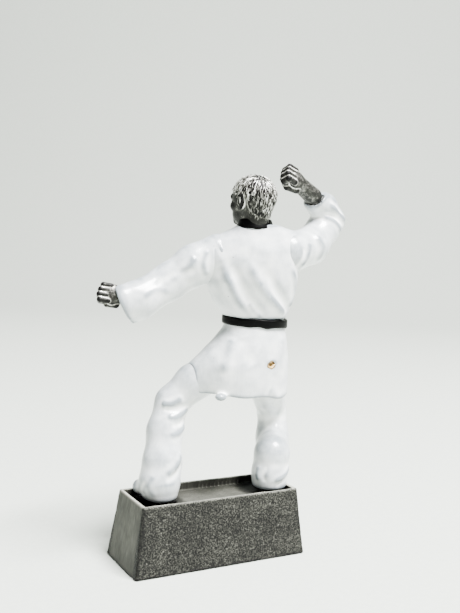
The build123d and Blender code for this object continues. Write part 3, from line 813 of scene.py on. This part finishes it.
def black_enamel():
    """Satin black enamel over resin: nearly black, faintly streaked, a touch greyer on its edges."""
    material, tree, shader = new_material("black_satin_enamel")
    height = add_node(tree, "ShaderNodeAttribute", {"attribute_name": "relief"}).outputs["Fac"]
    patchy = pattern(tree, 1.6, 4.0)
    tone = sum_of(tree, (height, 1.5), (patchy, 0.8))
    colour = ramp(tree, tone, ((0.3, "#000000"), (0.62, "#010101"), (0.85, "#040404")))
    tree.links.new(colour, shader.inputs["Base Color"])
    shader.inputs["Roughness"].default_value = 0.42
    shader.inputs["Specular IOR Level"].default_value = 0.06
    bump = add_node(tree, "ShaderNodeBump", {}, {"Strength": 0.5, "Distance": 0.0002, "Height": patchy})
    tree.links.new(bump.outputs["Normal"], shader.inputs["Normal"])
    return material


def finish_black(piece, *nodes):
    """Marks the hollows of a black piece, paints it and hands it to the frame."""
    mark(piece, "relief", relief(piece, 12))
    piece.data.materials.append(black)
    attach(piece, "root")
    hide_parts(*nodes)


black = black_enamel()
BELT_VOXEL, KNOT_VOXEL, TAILS_VOXEL = 0.34, 0.2, 0.26
BELT_TILT = 0.045


def belt_height(p):
    """Height over the middle of the belt, which dips a little towards the figure's right."""
    return p[:, 2] - (belt_low + belt_high) / 2 - (p[:, 0] - waist[0]) * BELT_TILT


def belt(p):
    outer = barrel(p, ((90, waist[0], 0, 15.6, 12.0), (130, waist[0], 0, 15.6, 12.0)), TORSO_TURN)
    inner = barrel(p, ((90, waist[0], 0, 13.4, 9.8), (130, waist[0], 0, 13.4, 9.8)), TORSO_TURN)
    across = np.abs(belt_height(p) + 0.22 * np.sin(p[:, 0] * 0.55)) - 2.05 - 0.12 * np.sin(p[:, 0] * 0.9)
    return carve(keep(outer, across, 0.9), inner, 0.3)


belt_box = corners("belt_band")
belt_piece = sculpt("belt", belt_box[0] - 3, belt_box[1] + 3, BELT_VOXEL, belt)
finish_black(belt_piece, "belt_band")


def belt_frame(p):
    """Points measured from the middle of the knot: x to its left, y backwards, z up."""
    q = spin(p - waist, -TORSO_TURN)
    return q - vec(0, -12.2, -2.1)


def knot(p):
    q = belt_frame(p)
    body = egg(q, (0, -0.9, 0), (3.4, 2.0, 2.7))
    wrap = limb(q, (-1.6, -1.6, 2.2), (1.4, -1.7, -2.2), 1.5, 1.5, ((0, 1, 0), 0.9))
    loops = limb(q, (-4.2, -0.2, 0.5), (4.2, -0.2, -0.5), 1.9, 1.9, ((0, 1, 0), 0.75))
    d = melt(melt(body, wrap, 0.3), loops, 0.25)
    crease = limb(q, (-2.0, -3.2, 1.6), (0.6, -3.4, -2.4), 0.25, 0.25)
    return carve(d, crease, 0.3)


knot_box = corners("belt_knot")
knot_piece = sculpt("belt_knot_tied", knot_box[0] - 3, knot_box[1] + 3, KNOT_VOXEL, knot)
finish_black(knot_piece, "belt_knot")


def tails(p):
    q = belt_frame(p)
    d = None
    for side, swing, length in ((-1, 3.2, 19.5), (1, 4.6, 21.0)):
        q_end = q - vec(side * 2.0, -1.6, -1.0)
        drop = -q_end[:, 2]
        centre_x = side * swing * np.maximum(drop, 0) / length
        centre_y = -2.6 * np.sin(np.clip(drop / length, 0, 1) * 1.5) - 0.3 * np.sin(drop * 0.5 + side)
        flap = np.stack((np.abs(q_end[:, 0] - centre_x) - 2.0,
                         np.abs(q_end[:, 1] - centre_y) - 0.55,
                         np.abs(drop - length / 2) - length / 2), -1)
        part = np.minimum(flap.max(1), 0) + np.sqrt((np.maximum(flap, 0) ** 2).sum(1)) - 0.25
        d = part if d is None else np.minimum(d, part)
    return d


tails_box = corners("belt_tails")
tails_piece = sculpt("belt_ends", tails_box[0] - 4, tails_box[1] + 4, TAILS_VOXEL, tails)
finish_black(tails_piece, "belt_tails")

# ---------------------------------------------------------------- head
# One casting from the scalp to the chest in the jacket's opening: a calm, plain face, close
# cropped hair chiselled in short strokes, and antique silver rubbed back over a black wash.
HEAD_TURN = 16.0
HEAD_VOXEL = 0.23
head_middle = centre("head") + vec(0.5, -0.1, 2.8)


def head_frame(p):
    return spin(p - head_middle, -HEAD_TURN)


HAIRLINE = (
    (0, 5.4), (35, 4.8), (58, 2.6), (72, 2.0), (80, -1.6), (88, 1.6), (104, 1.6),
    (118, -4.5), (150, -7.6), (180, -8.2),
)


def above_hairline(q):
    """How far a point of the head stands above its hairline, in millimetres."""
    angle = np.degrees(np.abs(np.arctan2(q[:, 0], -q[:, 1] + 0.8)))
    return q[:, 2] - np.interp(angle, *zip(*HAIRLINE))


def face(q):
    skull = egg(q, (0, 1.0, 1.6), (8.2, 10.6, 8.8))
    front = egg(q, (0, -3.0, -3.2), (6.5, 7.2, 8.6))
    d = melt(skull, front, 3.0)
    d = melt(d, egg(q, (0, -4.0, -7.6), (5.3, 5.4, 4.6)), 2.0)
    d = melt(d, limb(q, (-1.0, -8.3, -10.4), (1.0, -8.3, -10.4), 1.7, 1.7), 1.6)
    d = melt(d, limb(q, (0, 3.4, -4), (0, 3.0, -15.5), 5.8, 5.6), 2.6)
    mirror = np.stack((np.abs(q[:, 0]), q[:, 1], q[:, 2]), -1)
    d = melt(d, limb(mirror, (0.6, -9.4, 0.5), (4.6, -8.2, 0.7), 0.9, 1.0), 1.4)
    d = melt(d, egg(mirror, (4.4, -6.4, -3.6), (2.4, 2.4, 1.9)), 1.6)
    d = carve(d, egg(mirror, (2.9, -10.3, -1.3), (1.9, 1.5, 1.25)), 1.0)
    ball = egg(mirror, (2.9, -8.0, -1.4), (1.55, 1.55, 1.45))
    lids = egg(mirror, (2.9, -8.0, -1.4), (1.85, 1.78, 1.7))
    opening = np.abs(mirror[:, 2] + 1.5 + 0.10 * (mirror[:, 0] - 2.9) ** 2) - 0.42
    lids = np.maximum(lids, -opening)
    d = melt(d, np.minimum(ball, lids), 0.25)
    d = melt(d, limb(q, (0, -9.6, -0.3), (0, -11.8, -4.2), 0.75, 1.0), 0.9)
    d = melt(d, egg(mirror, (1.05, -10.6, -4.6), (0.95, 1.1, 0.8)), 0.6)
    d = carve(d, egg(mirror, (0.55, -11.3, -5.25), (0.32, 0.5, 0.35)), 0.2)
    d = melt(d, egg(q, (0, -8.7, -7.4), (2.9, 1.6, 2.3)), 1.2)
    d = melt(d, limb(mirror, (0.35, -10.25, -6.75), (2.0, -9.5, -7.25), 0.5, 0.3), 0.35)
    d = melt(d, limb(mirror, (0, -10.15, -7.95), (1.6, -9.5, -7.6), 0.62, 0.3), 0.35)
    d = carve(d, limb(mirror, (0, -10.7, -7.3), (2.0, -9.8, -7.4), 0.2, 0.16), 0.22)
    d = carve(d, limb(q, (0, -11.1, -5.6), (0, -10.9, -6.4), 0.22, 0.25), 0.3)
    rim = limb(mirror, (8.0, -0.6, 0.8), (8.5, 1.4, 1.0), 0.75, 0.75)
    rim = melt(rim, limb(mirror, (8.5, 1.4, 1.0), (8.6, 1.9, -1.6), 0.75, 0.7), 0.3)
    rim = melt(rim, limb(mirror, (8.6, 1.9, -1.6), (7.7, 0.2, -4.2), 0.7, 0.8), 0.3)
    shell = egg(mirror, (7.7, 0.5, -1.3), (1.1, 1.9, 2.7))
    ear = carve(melt(shell, rim, 0.35), egg(mirror, (8.9, 0.0, -1.3), (0.75, 0.8, 1.4)), 0.4)
    ear = melt(ear, limb(mirror, (7.6, -1.2, -1.8), (7.8, -0.9, -2.4), 0.55, 0.5), 0.3)
    return melt(d, ear, 0.35)


def head(p):
    q = head_frame(p)
    d = face(q)
    hair = np.clip(above_hairline(q) / 0.8 + 0.5, 0, 1)
    mirror = np.stack((np.abs(q[:, 0]), q[:, 1], q[:, 2]), -1)
    near_ear = np.clip(1.6 - np.abs(mirror - vec(8.2, 0.8, -1.4)).max(1) / 2.4, 0, 1)
    d = d - 0.45 * hair * (1 - near_ear)
    throat = limb(p, neck + vec(0, -1.6, 0), neck + vec(-0.6, -6.6, -13), 5.0, 3.2)
    d = melt(d, throat, 1.5)
    return keep(d, neck[2] - 18 - p[:, 2], 0.5)


head_low, head_high = corners("head")
head_piece = sculpt("head_casting", head_low - vec(3, 4, 12), head_high + 2.5, HEAD_VOXEL, head)
head_points, head_normals = read_points(head_piece)
in_frame = head_frame(head_points)
hair_cover = np.clip(above_hairline(in_frame) / 0.6, 0, 1)
ear_gap = np.abs(np.stack((np.abs(in_frame[:, 0]), in_frame[:, 1], in_frame[:, 2]), -1) - vec(8.6, 0.8, -1.3))
hair_cover *= (ear_gap - vec(1.2, 2.4, 3.4)).max(1) > 0
crown = vec(0.8, 4.5, 10.0)
flow = in_frame - crown
flow = spin(flow, HEAD_TURN)
flow -= (flow * head_normals).sum(1)[:, None] * head_normals
flow /= np.maximum(np.linalg.norm(flow, axis=1), 1e-3)[:, None]
mark(head_piece, "hair", hair_cover)
layer = head_piece.data.attributes.new("flow", "FLOAT_VECTOR", "POINT")
layer.data.foreach_set("vector", flow.astype(np.float32).ravel())
head_relief = relief(head_piece, 14) * 1.6 - 0.16 * hair_cover - 0.03


def finish_silver(piece, node, heights):
    """Marks the hollows of a silver piece, paints it and hands it to the frame."""
    mark(piece, "relief", heights)
    piece.data.materials.append(silver)
    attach(piece, "root")
    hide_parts(node)


silver = antique_silver("antique_silver_paint", "#8f8e87", "#2a2a27", "#020202", 4.2, 0.45)
finish_silver(head_piece, "head", head_relief)


def hair_tree():
    """Chisel strokes of hair: tapered ridges laid along the flow over the marked scalp."""
    tree = bpy.data.node_groups.new("hair_strokes", "GeometryNodeTree")
    face_in = tree.interface.new_socket
    face_in("Geometry", in_out="INPUT", socket_type="NodeSocketGeometry")
    for label, value in (("Stroke length", 2.6), ("Stroke width", 0.42), ("Spacing", 0.72)):
        face_in(label, in_out="INPUT", socket_type="NodeSocketFloat").default_value = value / 1000
    face_in("Seed", in_out="INPUT", socket_type="NodeSocketInt").default_value = 7
    face_in("Paint", in_out="INPUT", socket_type="NodeSocketMaterial")
    face_in("Geometry", in_out="OUTPUT", socket_type="NodeSocketGeometry")
    given = add_node(tree, "NodeGroupInput").outputs
    hair = add_node(tree, "GeometryNodeInputNamedAttribute", {"data_type": "FLOAT"}, {"Name": "hair"})
    scalp = add_node(
        tree, "FunctionNodeCompare", {"data_type": "FLOAT", "operation": "GREATER_THAN"},
        {0: hair.outputs[0], 1: 0.5},
    )
    points = add_node(
        tree, "GeometryNodeDistributePointsOnFaces", {"distribute_method": "POISSON"},
        {"Mesh": given["Geometry"], "Selection": scalp.outputs[0], "Distance Min": given["Spacing"],
         "Density Max": 4000000.0, "Seed": given["Seed"]},
    )
    length = add_node(tree, "ShaderNodeCombineXYZ", {}, {"Y": given["Stroke length"]})
    line = add_node(tree, "GeometryNodeCurvePrimitiveLine", {}, {"End": length.outputs[0]})
    stroke = add_node(tree, "GeometryNodeResampleCurve", {}, {"Curve": line.outputs[0], "Count": 6})
    along = add_node(tree, "GeometryNodeSplineParameter").outputs["Factor"]
    profile = add_node(tree, "ShaderNodeFloatCurve", {}, {"Value": along})
    curve = profile.mapping.curves[0]
    curve.points[0].location = (0.0, 0.15)
    curve.points[1].location = (1.0, 0.08)
    curve.points.new(0.35, 1.0)
    profile.mapping.update()
    girth = add_node(
        tree, "ShaderNodeMath", {"operation": "MULTIPLY"}, {0: profile.outputs[0], 1: given["Stroke width"]}
    )
    ring = add_node(tree, "GeometryNodeCurvePrimitiveCircle", {}, {"Resolution": 6, "Radius": 0.5})
    ridge = add_node(
        tree, "GeometryNodeCurveToMesh", {},
        {"Curve": stroke.outputs[0], "Profile Curve": ring.outputs[0],
         "Scale": girth.outputs[0], "Fill Caps": True},
    )
    flow_in = add_node(
        tree, "GeometryNodeInputNamedAttribute", {"data_type": "FLOAT_VECTOR"}, {"Name": "flow"}
    )
    stray = add_node(
        tree, "FunctionNodeRandomValue", {"data_type": "FLOAT_VECTOR"},
        {"Min": (-0.45, -0.45, -0.45), "Max": (0.45, 0.45, 0.45), "Seed": 3},
    )
    lean = add_node(
        tree, "ShaderNodeVectorMath", {"operation": "ADD"}, {0: flow_in.outputs[0], 1: stray.outputs[0]}
    )
    upright = add_node(
        tree, "FunctionNodeAlignRotationToVector", {"axis": "Z"}, {"Vector": points.outputs["Normal"]}
    )
    turned = add_node(
        tree, "FunctionNodeAlignRotationToVector", {"axis": "Y", "pivot_axis": "Z"},
        {"Rotation": upright.outputs[0], "Vector": lean.outputs[0]},
    )
    size = add_node(tree, "FunctionNodeRandomValue", {"data_type": "FLOAT"}, {2: 0.65, 3: 1.25, "Seed": 5})
    shape = add_node(
        tree, "ShaderNodeCombineXYZ", {}, {"X": size.outputs[1], "Y": size.outputs[1], "Z": 0.75}
    )
    laid = add_node(
        tree, "GeometryNodeInstanceOnPoints", {},
        {"Points": points.outputs["Points"], "Instance": ridge.outputs[0],
         "Rotation": turned.outputs[0], "Scale": shape.outputs[0]},
    )
    real = add_node(tree, "GeometryNodeRealizeInstances", {}, {"Geometry": laid.outputs[0]})
    painted = add_node(
        tree, "GeometryNodeSetMaterial", {}, {"Geometry": real.outputs[0], "Material": given["Paint"]}
    )
    add_node(tree, "NodeGroupOutput", {}, {"Geometry": painted.outputs[0]})
    return tree


def grow(source, tree, name, values):
    """Runs a Geometry Nodes tree on source and returns its result as a plain mesh object."""
    modifier = source.modifiers.new(name, "NODES")
    modifier.node_group = tree
    for item in tree.interface.items_tree:
        if item.in_out == "INPUT" and item.name in values:
            modifier[item.identifier] = values[item.name]
    bpy.context.view_layer.update()
    result = source.evaluated_get(bpy.context.evaluated_depsgraph_get())
    mesh = bpy.data.meshes.new_from_object(result)
    source.modifiers.remove(modifier)
    mesh.name = name
    piece = bpy.data.objects.new(name, mesh)
    bpy.context.scene.collection.objects.link(piece)
    return piece


hair_piece = grow(head_piece, hair_tree(), "cropped_hair", {"Paint": silver})
hair_points, _ = read_points(hair_piece)
# Painted highlight: hair strokes lighter towards the crown and darker low on the head.
painted_crown_highlight = np.clip((hair_points[:, 2] - head_middle[2] + 2) / 12, -0.6, 1)
streak = 0.12 * noise(hair_points * vec(1, 1, 0.3), 0.5, 22)
mark(hair_piece, "relief", 0.04 * painted_crown_highlight + streak + 0.015)
hair_piece.data.polygons.foreach_set("use_smooth", np.ones(len(hair_piece.data.polygons), bool))
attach(hair_piece, "root")
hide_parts("head")

# ---------------------------------------------------------------- collar
# The jacket's black lapel: a folded band that stands round the neck, then crosses on the chest,
# left over right, and runs down into the belt.


COLLAR_VOXEL = 0.3


def collar(p):
    q = spin(p - neck, -TORSO_TURN)
    level = q[:, 2] - 0.10 * q[:, 1]
    outer = np.hypot((q[:, 0] - 1.2) / (8.3 - 0.35 * level), (q[:, 1] - 0.2) / (7.6 - 0.35 * level)) * 7 - 7
    inner = np.hypot((q[:, 0] - 0.6) / 6.0, (q[:, 1] - 0.4) / 5.4) * 5.5 - 5.5
    d = carve(keep(outer, np.abs(level - 0.2) - 2.3, 0.5), inner, 0.3)
    for side, ends in ((1, ((6.6, -3.6, -1.2), (3.6, -10.2, -12), (-2.6, -12.6, -26), (-4.4, -12.0, -40))),
                       (-1, ((-5.2, -4.6, -2.2), (-3.4, -9.6, -12), (1.4, -11.4, -22)))):
        steps = [vec(*e) for e in ends]
        for a, b in zip(steps, steps[1:]):
            strip = limb(q, a, b, 1.7, 1.7, ((0.25 * side, -0.9, 0.3), 0.5))
            d = melt(d, strip, 0.5)
    return d


collar_low, collar_high = corners("collar_band")
collar_piece = sculpt("collar_lapel", collar_low - vec(4, 8, 42), collar_high + 3, COLLAR_VOXEL, collar)
finish_black(collar_piece, "collar_band")

# ---------------------------------------------------------------- fists and feet
# Bare hands closed into fists, thumb folded over the fingers, and bare feet that show under the
# hems. Cast with the figure and finished like the head.


def hand_frame(p, middle, forward, back):
    """Points measured in a hand: x across the knuckles, y from wrist to knuckles, z out of its back."""
    f = forward / np.linalg.norm(forward)
    s = np.cross(f, back)
    s = s / np.linalg.norm(s)
    n = np.cross(s, f)
    return (p - middle.astype(np.float32)) @ np.stack((s, f, n), -1).astype(np.float32)


def fist(q):
    """A closed hand: palm block, four fingers folded back on themselves, and the thumb across them."""
    d = egg(q, (0, -0.6, 0.3), (3.9, 3.9, 2.5))
    for place, knuckle in ((-2.9, 2.2), (-1.0, 2.7), (0.9, 2.5), (2.7, 1.9)):
        joints = (
            (place, knuckle - 1.2, 1.4), (place, knuckle + 1.7, 0.9),
            (place * 0.95, knuckle + 1.3, -1.6), (place * 0.9, knuckle - 1.2, -1.8),
        )
        finger = chain(q, [(vec(*j), 1.08) for j in joints], 0.25)
        d = melt(d, finger, 0.22)
    thumb = chain(
        q, ((vec(-3.4, -2.4, -0.4), 1.3), (vec(-3.3, 0.8, -2.3), 1.15), (vec(-0.2, 2.2, -3.3), 1.0)), 0.3
    )
    return melt(d, thumb, 0.22)


HAND_VOXEL = 0.2
# Name, node, wrist, elbow, wrist to fist, the way the back of the hand faces, forearm radii, scale.
FISTS = (
    ("left_hand", "left_fist", left_wrist, left_elbow,
     vec(4.4, -1.4, 0.9), vec(0.1, 0.95, 0.3), 3.4, 3.5, 1.18),
    ("right_hand", "right_fist", right_wrist, right_elbow,
     vec(12.3, 2.6, 6.8), vec(0.2, 0.8, 0.6), 3.6, 4.3, 1.28),
)
for name, node, wrist, elbow, offset, back, thin, thick, size in FISTS:
    low, high = corners(node)
    middle = (wrist + offset).astype(np.float32)
    forward = offset / np.linalg.norm(offset)
    start = wrist + (elbow - wrist) * 0.06

    def hand(p):
        arm = limb(p, middle - forward * 2.6, start, thin, thick)
        closed = size * fist(hand_frame(p, middle, forward, back) / size)
        return melt(closed, arm, 1.2)

    hand_piece = sculpt(name, low - 3, high + 3, HAND_VOXEL, hand)
    finish_silver(hand_piece, node, relief(hand_piece, 14) * 1.5)


def foot(q):
    """A bare foot: x across it, y from heel to toes, z up from the sole."""
    d = egg(q, (0, -3.2, 1.9), (3.0, 3.4, 2.6))
    d = melt(d, limb(q, (0, -1, 3.2), (0.3, 7.5, 1.7), 2.9, 1.7, ((0, 0, 1), 0.9)), 1.6)
    d = melt(d, egg(q, (0, 8.0, 1.4), (4.0, 3.6, 1.5)), 1.2)
    d = melt(d, limb(q, (0, -1.6, 3), (0, -1.6, 10), 3.0, 3.2), 1.6)
    for place, reach, thick in (
        (2.9, 12.2, 1.2), (1.1, 12.4, 0.9), (-0.5, 11.8, 0.85), (-1.9, 11.0, 0.8), (-3.1, 9.9, 0.75)
    ):
        d = melt(d, limb(q, (place, reach - 3, 1.2), (place * 1.04, reach, 0.95), thick, thick), 0.3)
    return keep(d, -q[:, 2], 0.3)


FOOT_VOXEL = 0.25
# Name, node, ankle, the way the toes point in degrees, and 1 for a left foot.
FEET = (
    ("left_bare_foot", "left_foot", left_ankle, -54.0, 1),
    ("right_bare_foot", "right_foot", right_ankle, -104.0, -1),
)
for name, node, ankle, points_to, side in FEET:
    low, high = corners(node)

    def bare_foot(p):
        q = spin(p - vec(ankle[0], ankle[1], tray_floor), 90 - points_to)
        q = np.stack((q[:, 0] * -side, q[:, 1], q[:, 2]), -1)
        return foot(q)

    foot_piece = sculpt(name, low - 2, high + 2, FOOT_VOXEL, bare_foot)
    finish_silver(foot_piece, node, relief(foot_piece, 10) * 1.5)

# ---------------------------------------------------------------- plate, felt and fixings
# The CAD nodes that show as they are, each in its own metal, felt or foam.


def brushed_metal(name, colour, rough, streak):
    """Rolled or drawn metal, with fine streaks along its length."""
    material, tree, shader = new_material(name)
    lines = pattern(tree, 0.25, 3.0, streak)
    tint = ramp(tree, lines, ((0.25, colour[0]), (0.75, colour[1])))
    tree.links.new(tint, shader.inputs["Base Color"])
    shader.inputs["Metallic"].default_value = 1.0
    shader.inputs["Roughness"].default_value = rough
    bump = add_node(tree, "ShaderNodeBump", {}, {"Strength": 0.15, "Distance": 0.0001, "Height": lines})
    tree.links.new(bump.outputs["Normal"], shader.inputs["Normal"])
    return material


def felt_cloth():
    """Black wool felt: no gloss, with a matted nap."""
    material, tree, shader = new_material("black_wool_felt")
    nap = pattern(tree, 0.4, 5.0)
    tree.links.new(ramp(tree, nap, ((0.3, "#0d0d0e"), (0.7, "#2b2b2d"))), shader.inputs["Base Color"])
    shader.inputs["Roughness"].default_value = 0.95
    shader.inputs["Sheen Weight"].default_value = 0.3
    bump = add_node(tree, "ShaderNodeBump", {}, {"Strength": 0.8, "Distance": 0.0003, "Height": nap})
    tree.links.new(bump.outputs["Normal"], shader.inputs["Normal"])
    return material


def tape_foam():
    """Grey acrylic foam tape: matt and faintly mottled."""
    material, tree, shader = new_material("acrylic_foam_tape")
    cells = pattern(tree, 0.5, 3.0)
    tree.links.new(ramp(tree, cells, ((0.3, "#b9b9b4"), (0.7, "#cdcdc8"))), shader.inputs["Base Color"])
    shader.inputs["Roughness"].default_value = 0.8
    return material


zinc = brushed_metal("zinc_plated_steel", ("#8f9499", "#b9bdc1"), 0.35, (1, 1, 6))
plate_metal = brushed_metal("satin_aluminium_plate", ("#b8b9ba", "#dcdcdb"), 0.3, (30, 1, 1))
felt, foam = felt_cloth(), tape_foam()
for node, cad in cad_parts.items():
    paint = {"name_plate": plate_metal, "base_felt": felt, "plate_tape": foam}.get(node)
    if paint is None and (node.endswith(("_pin", "_rod")) or node in ("rod_nuts", "rod_washers")):
        paint = zinc
    if paint is not None:
        cad.data.materials.clear()
        cad.data.materials.append(paint)

# ---------------------------------------------------------------- floor, light and camera
# A pale sheet of studio paper under soft boxes: a broad one above and to the right of the
# camera's side, a weaker one to the left.


def paper():
    """Matt studio paper."""
    material, tree, shader = new_material("studio_paper")
    fibre = pattern(tree, 3.0, 3.0)
    tree.links.new(ramp(tree, fibre, ((0.3, "#a9aea7"), (0.7, "#aeb3ac"))), shader.inputs["Base Color"])
    shader.inputs["Roughness"].default_value = 0.85
    return material


sweep_radius = 0.6
floor_mesh = bpy.data.meshes.new("floor")
rows = [(3.0, 0.0), (-0.9, 0.0)]
for angle in np.linspace(0.1, math.pi / 2, 14):
    rows.append((-0.9 - sweep_radius * math.sin(angle), sweep_radius * (1 - math.cos(angle))))
rows += [(-0.9 - sweep_radius, 4.0)]
YAW = 29.18
yaw = math.radians(YAW)
towards = Vector((math.sin(yaw), math.cos(yaw), 0))
sideways = Vector((-math.cos(yaw), math.sin(yaw), 0))
verts = []
for out, up in rows:
    for side in (-3.0, 3.0):
        verts.append(towards * out + sideways * side + Vector((0, 0, up)))
faces = [(2 * i, 2 * i + 1, 2 * i + 3, 2 * i + 2) for i in range(len(rows) - 1)]
floor_mesh.from_pydata([tuple(v) for v in verts], [], faces)
floor_mesh.polygons.foreach_set("use_smooth", np.ones(len(faces), bool))
floor = bpy.data.objects.new("floor", floor_mesh)
bpy.context.scene.collection.objects.link(floor)
floor.data.materials.append(paper())


def soft_box(name, place, aim, size, watts, tint):
    """A square area light at place, in metres, that faces aim."""
    data = bpy.data.lights.new(name, "AREA")
    data.shape = "RECTANGLE"
    data.size, data.size_y = size
    data.energy = watts
    data.color = tint
    lamp = bpy.data.objects.new(name, data)
    lamp.location = place
    lamp.rotation_euler = (Vector(aim) - Vector(place)).to_track_quat("-Z", "Y").to_euler()
    bpy.context.scene.collection.objects.link(lamp)


AIM = (-0.01, 0.0, 0.09)
above = towards * 0.2 + sideways * 0.3 + Vector((0, 0, 0.95))
right_box = towards * 0.55 + sideways * 0.75 + Vector((0, 0, 0.55))
left_box = towards * 0.5 - sideways * 0.85 + Vector((0, 0, 0.45))
soft_box("top_box", above * 1.5, AIM, (0.6, 0.6), 245.0, (1, 1, 0.99))
soft_box("right_box", right_box, AIM, (0.4, 0.4), 3.4, (1, 1, 1))
soft_box("left_box", left_box, AIM, (0.6, 0.8), 0.8, (0.97, 0.99, 1))

world = bpy.data.worlds.new("studio")
bpy.context.scene.world = world
world.use_nodes = True
world.node_tree.nodes["Background"].inputs["Color"].default_value = srgb("#eef0ee")
world.node_tree.nodes["Background"].inputs["Strength"].default_value = 0.22

camera_data = bpy.data.cameras.new("camera")
LENS, PITCH, ROLL = 52.0, 6.32, 2.87
CAMERA_AT = (413.47, 10.94, 115.23)  # millimetres along the view axis, to its right and up
camera_data.lens = LENS
camera_data.sensor_width = 36.0
camera_data.clip_start = 0.01
camera = bpy.data.objects.new("camera", camera_data)
bpy.context.scene.collection.objects.link(camera)
pitch, roll = math.radians(PITCH), math.radians(ROLL)
back = Vector((math.sin(yaw) * math.cos(pitch), math.cos(yaw) * math.cos(pitch), math.sin(pitch)))
right = Vector((0, 0, 1)).cross(back).normalized()
up = back.cross(right)
right, up = (math.cos(roll) * right + math.sin(roll) * up, -math.sin(roll) * right + math.cos(roll) * up)
place = (back * CAMERA_AT[0] + right * CAMERA_AT[1] + up * CAMERA_AT[2]) * 0.001
camera.matrix_world = Matrix((
    (right.x, up.x, back.x, place.x),
    (right.y, up.y, back.y, place.y),
    (right.z, up.z, back.z, place.z),
    (0, 0, 0, 1),
))
bpy.context.scene.camera = camera
